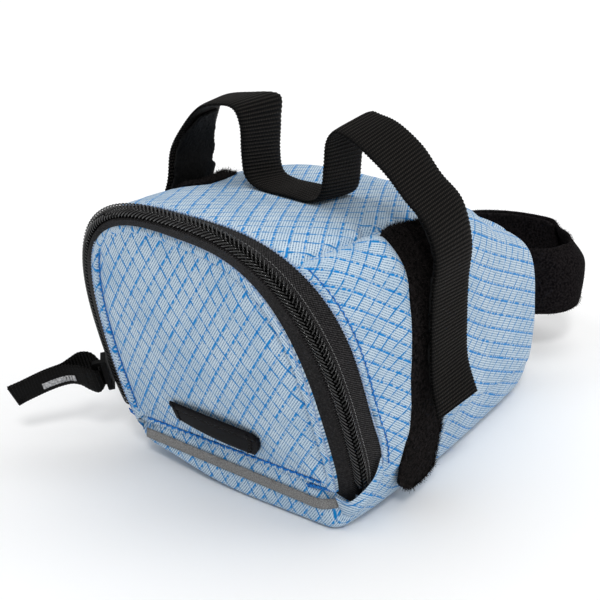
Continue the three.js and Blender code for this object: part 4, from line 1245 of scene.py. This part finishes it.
# Path of its outer face, from the end inside the overlap round the back to the end outside: x, and how far
# ahead of the nose. Its edges draw in at the right, and its upper edge lies lower in front
POST = Named(low=20.0, high=45.5, thick=1.8, middle=(0, 24), draw_top=5.2, draw_low=0.9, right=(2, 16),
             ahead=(8, 22), lower=2.0, lower_from=(12, 34))
POST_PATH = [
    (9.5, 43.6), (-2, 43.8), (-12.5, 41), (-21.5, 35), (-27, 26.5), (-25.5, 16), (-19, 7.5), (-11, 2.4),
    (0, 0.4), (11, 2.4), (19, 7.5), (27, 14), (30, 22), (28, 31.5), (20.5, 41), (9, 46.6), (-3, 47),
    (-14, 44.2), (-23.5, 38), (-30, 28.5),
]
# Count, length, radius and seed of its fibres
POST_PILE = Named(outside=(4200, 0.35, 0.05, 51), inside=(2800, 0.35, 0.05, 52),
                  edges=(2400, 0.5, 0.05, 61))


def post_surface():
    tip = float(nose_point(np.ones(1), np.array([float(ARCH)]))[0, 1])
    path = whole_curve(POST_PATH, 260)
    v = np.linspace(0, 1, 33)[None]
    right = smooth(path[:, 0], *POST.right) * smooth(path[:, 1], *POST.ahead)
    draw = POST.draw_top * smooth(v, 0.6, 1.02) + POST.draw_low * smooth(1 - v, 0.5, 1)
    inward = unit(np.array(POST.middle) - path)
    moved = path[:, None] + inward[:, None] * (draw * right[:, None])[..., None]
    high = POST.high - POST.lower * smooth(path[:, 1:], *POST.lower_from)
    return np.stack([moved[..., 0], tip + moved[..., 1], mix(POST.low, high, v)], -1)


post = post_surface()
post_normal = grid_normals(post)
make("post_tape", slab(post, POST.thick), PLAIN["post_tape"], ["post_strap"])
fibres = [pile(post, post_normal, *POST_PILE.outside),
          pile(post - post_normal * POST.thick, -post_normal, *POST_PILE.inside)]
fibres += edge_pile(post, ("rear", "front", "top", "foot"), *POST_PILE.edges)
make("post_fuzz", fibres, PLAIN["loop_fuzz"])

# Slider and its folded ribbon pull

SLIDER = Named(from_end=15.5, thick=1.8, bar=1.4, clear=2.2, bevel=0.7)
# Path of the pull from one end through the slider's bridge to the other: aside, out from the bridge, up along
# the zipper, and the ribbon's width
PULL_PATH = [
    (-0.1, 29.5, -1, 8), (-0.1, 17.3, 2.3, 8), (-0.2, 10, 3.3, 8), (-1.2, 6, 3, 8.4), (-2.6, 2.8, 1.6, 10),
    (-3.4, 0.4, 0.4, 9.6), (-2.4, -1.3, 0, 6.6), (0, -1.5, 0, 5.2), (2.4, -1.3, 0.2, 6.6),
    (3.8, 0.6, 1.6, 9.6), (3.6, 4, 2.8, 10), (1.8, 7.4, 3.4, 8.4), (0.3, 10.5, 3.3, 8), (0.1, 17.3, 2.3, 8),
    (0.1, 29.5, -1, 8),
]
PULL = Named(thick=0.85, rib=1.1, height=0.15, scallop=0.24, yarn=0.7, cut_from=25, cut=0.8)
# Woven bar on the ribbon: its ends, its columns and its thickness
PULL_BAR = Named(start=6.0, end=18.3, columns=(7, 12), thick=0.2)


def slider_frame():
    place = rim_places(4000)
    k = int(round(SLIDER.from_end / place["length"] * 4000))
    one = {key: place[key][k] for key in PLACE_KEYS}
    middle = coil_point(one, 0.0, 0.0)
    across = unit(coil_point(one, 1.0, 0.0) - middle)
    out = unit(coil_point(one, 0.0, 1.0) - middle)
    return coil_point(one, 0.0, COIL.thick / 2 + GAP), across, np.cross(out, across), out


ORIGIN, ACROSS, ALONG, OUT = slider_frame()
BAR_HIGH = SLIDER.thick + SLIDER.clear + SLIDER.bar / 2


def pull_surface():
    """The ribbon's face, its UV coordinates and the face of its woven bar."""
    dense = whole_curve(PULL_PATH, 4000)
    length = path_run(dense[:, :3])
    run = np.arange(0, length[-1], PULL.rib / RIB_STEPS)
    aside, away, rise, wide = (np.interp(run, length, column)[:, None] for column in dense.T)
    phase = run[:, None] / PULL.rib
    v = np.linspace(-1, 1, 15)[None]
    along = wide / 2 * v + PULL.scallop * scallops(ribs(phase), v)
    out = away - PULL.cut * smooth(away, PULL.cut_from, PULL_PATH[0][1]) * v
    p = ORIGIN + aside[..., None] * ACROSS + (along - rise)[..., None] * ALONG
    p = p + (BAR_HIGH + out)[..., None] * OUT
    p = p + grid_normals(p) * (PULL.height * (ribs(phase) - RIB_MEAN))[..., None]
    uv = np.stack(np.broadcast_arrays(phase, along / PULL.yarn), -1)
    near = (run < length[-1] / 2) & (away[:, 0] > PULL_BAR.start) & (away[:, 0] < PULL_BAR.end)
    inner = p - grid_normals(p) * PULL.thick
    return p, uv, inner[near, slice(*PULL_BAR.columns)]


pull, pull_uv, bar = pull_surface()
make("pull_ribbon", slab(pull, PULL.thick, pull_uv, 0.6), RIBBON, ["zipper_pull"])
make("pull_bar", slab(bar, PULL_BAR.thick, edge=0.4), PLAIN["woven_bar"])

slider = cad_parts["zipper_slider"]
slider.data.materials.clear()
slider.data.materials.append(PLAIN["zip_slider"])
bevel = slider.modifiers.new("edges", "BEVEL")
bevel.width = SLIDER.bevel * MM
bevel.segments = 3
bevel.limit_method = "ANGLE"

# Blue topstitching: along the flap's lower seam, in its groove and along the two sides' edges at the zipper
# The row in the groove is partly real stitching and partly painted shade, a dark line that stands in for the
# groove's shadow

# Zigzag tacks at the two ends of the lower seam
SEAM_TACKS = [{"x": (31, 42), "up": (3.4, 5.4), "half": 0.8, "count": 24},
              {"x": (-43, -39.5), "up": (7.4, 6.0), "half": 0.9, "count": 12}]
TACK_THREAD = Named(stand=1.0, step=0.3, radius=0.26)
# Lift of each row of stitches, panel row and least depth share of the groove, inset of the side's row
SEAM_LIFT = 0.25
GROOVE_ROW = Named(ring=4, lift=0.2, least=0.4)
SIDE_ROW = Named(inset=2.6, lift=0.5)
CUT_EDGE = Named(inset=0.1, lift=0.1)
END_CLEAR = 0.6


def hem_path(cols, inset, lift):
    """Path on the body at a distance from its cloth's edge, and the way out of the cloth."""
    path, out = path_on_body(cols, TAPE_OUTER_WIDE * tape_share(cols) - HEM_LAP + inset)
    return path + out * lift, out


def seam_tack(tack):
    x, up = (np.linspace(*tack[key], tack["count"]) for key in ("x", "up"))
    up = up + tack["half"] * (-1.0) ** np.arange(tack["count"])
    points = spaced(rear_point(x, up, SEAM.back + TACK_THREAD.stand), TACK_THREAD.step)
    return tubes(points[None], TACK_THREAD.radius, 5)


def blue_stitches():
    rows = [stitch_row(hem_strip[-1, AT_FOOT][:-1] + REAR_NORMAL * SEAM_LIFT, REAR_NORMAL, "seam")]
    # Stitches in the flap's groove: partly real, partly painted shade standing in for the groove's shadow
    deep = np.flatnonzero((GROOVED > GROOVE_ROW.least) & ~AT_FOOT)
    x, up, back = (rows_of[GROOVE_ROW.ring] for rows_of in (panel_x, panel_up, panel_back))
    groove = rear_point(x, up, back + GROOVE_ROW.lift)
    for run in np.split(deep, np.flatnonzero(np.diff(deep) > 1) + 1):
        rows.append(stitch_row(groove[run], REAR_NORMAL, "groove"))
    rows += [seam_tack(tack) for tack in SEAM_TACKS]
    for sign in (-1, 1):
        cols = sign * np.linspace(TOP_SEAM[0][0], FOOT_COLUMN - END_CLEAR, 130)
        rows.append(stitch_row(*hem_path(cols, SIDE_ROW.inset, SIDE_ROW.lift), "side"))
    return rows


make("blue_stitches", blue_stitches(), PLAIN["blue_thread"])

# Cut threads along the cloth's edges at the zipper
edge_cols = np.linspace(-FOOT_COLUMN + END_CLEAR, FOOT_COLUMN - END_CLEAR, 300)
cut_threads = [stitch_row(*hem_path(edge_cols, CUT_EDGE.inset, CUT_EDGE.lift), "cut_edge"),
               stitch_row(hem_strip[1, :RIM_COUNT + 1], REAR_NORMAL, "cut_edge")]
make("edge_threads", cut_threads, PLAIN["cloth_edge"])

# Floor and light. The floor's half width is in metres

FLOOR_HALF = 20.0
WORLD_STRENGTH = 0.42
# Large distant softboxes: direction towards each, angle across in degrees, strength
SOFTBOXES = [
    ("front", (0.45, -0.55, 0.7), 10, 0.9),
    ("above", (-0.1, 0.1, 1.0), 80, 1.35),
    ("side", (0.8, 0.5, 0.45), 40, 0.5),
]


def floor_look():
    look = Look("floor", 0.9, 0.2)
    grain = look.noise(look.place(), 8.0, 2.0)
    look.colour(look.blend(grain, linear(250, 250, 250), linear(253, 253, 253)))
    return look.material


floor_mesh = bpy.data.meshes.new("floor")
corners = [(x * FLOOR_HALF, y * FLOOR_HALF, 0) for x, y in ((-1, -1), (1, -1), (1, 1), (-1, 1))]
floor_mesh.from_pydata(corners, [], [(0, 1, 2, 3)])
floor_mesh.materials.append(floor_look())
floor = add_object("floor", floor_mesh)

world = bpy.data.worlds.new("studio")
world.use_nodes = True
world.node_tree.nodes["Background"].inputs["Color"].default_value = (1, 1, 1, 1)
world.node_tree.nodes["Background"].inputs["Strength"].default_value = WORLD_STRENGTH
bpy.context.scene.world = world
bpy.context.scene.view_settings.view_transform = "Standard"

for name, toward, angle, strength in SOFTBOXES:
    lamp = bpy.data.lights.new(name, "SUN")
    lamp.energy = strength
    lamp.angle = math.radians(angle)
    add_object(name, lamp).rotation_euler = Vector(toward).to_track_quat("Z", "Y").to_euler()
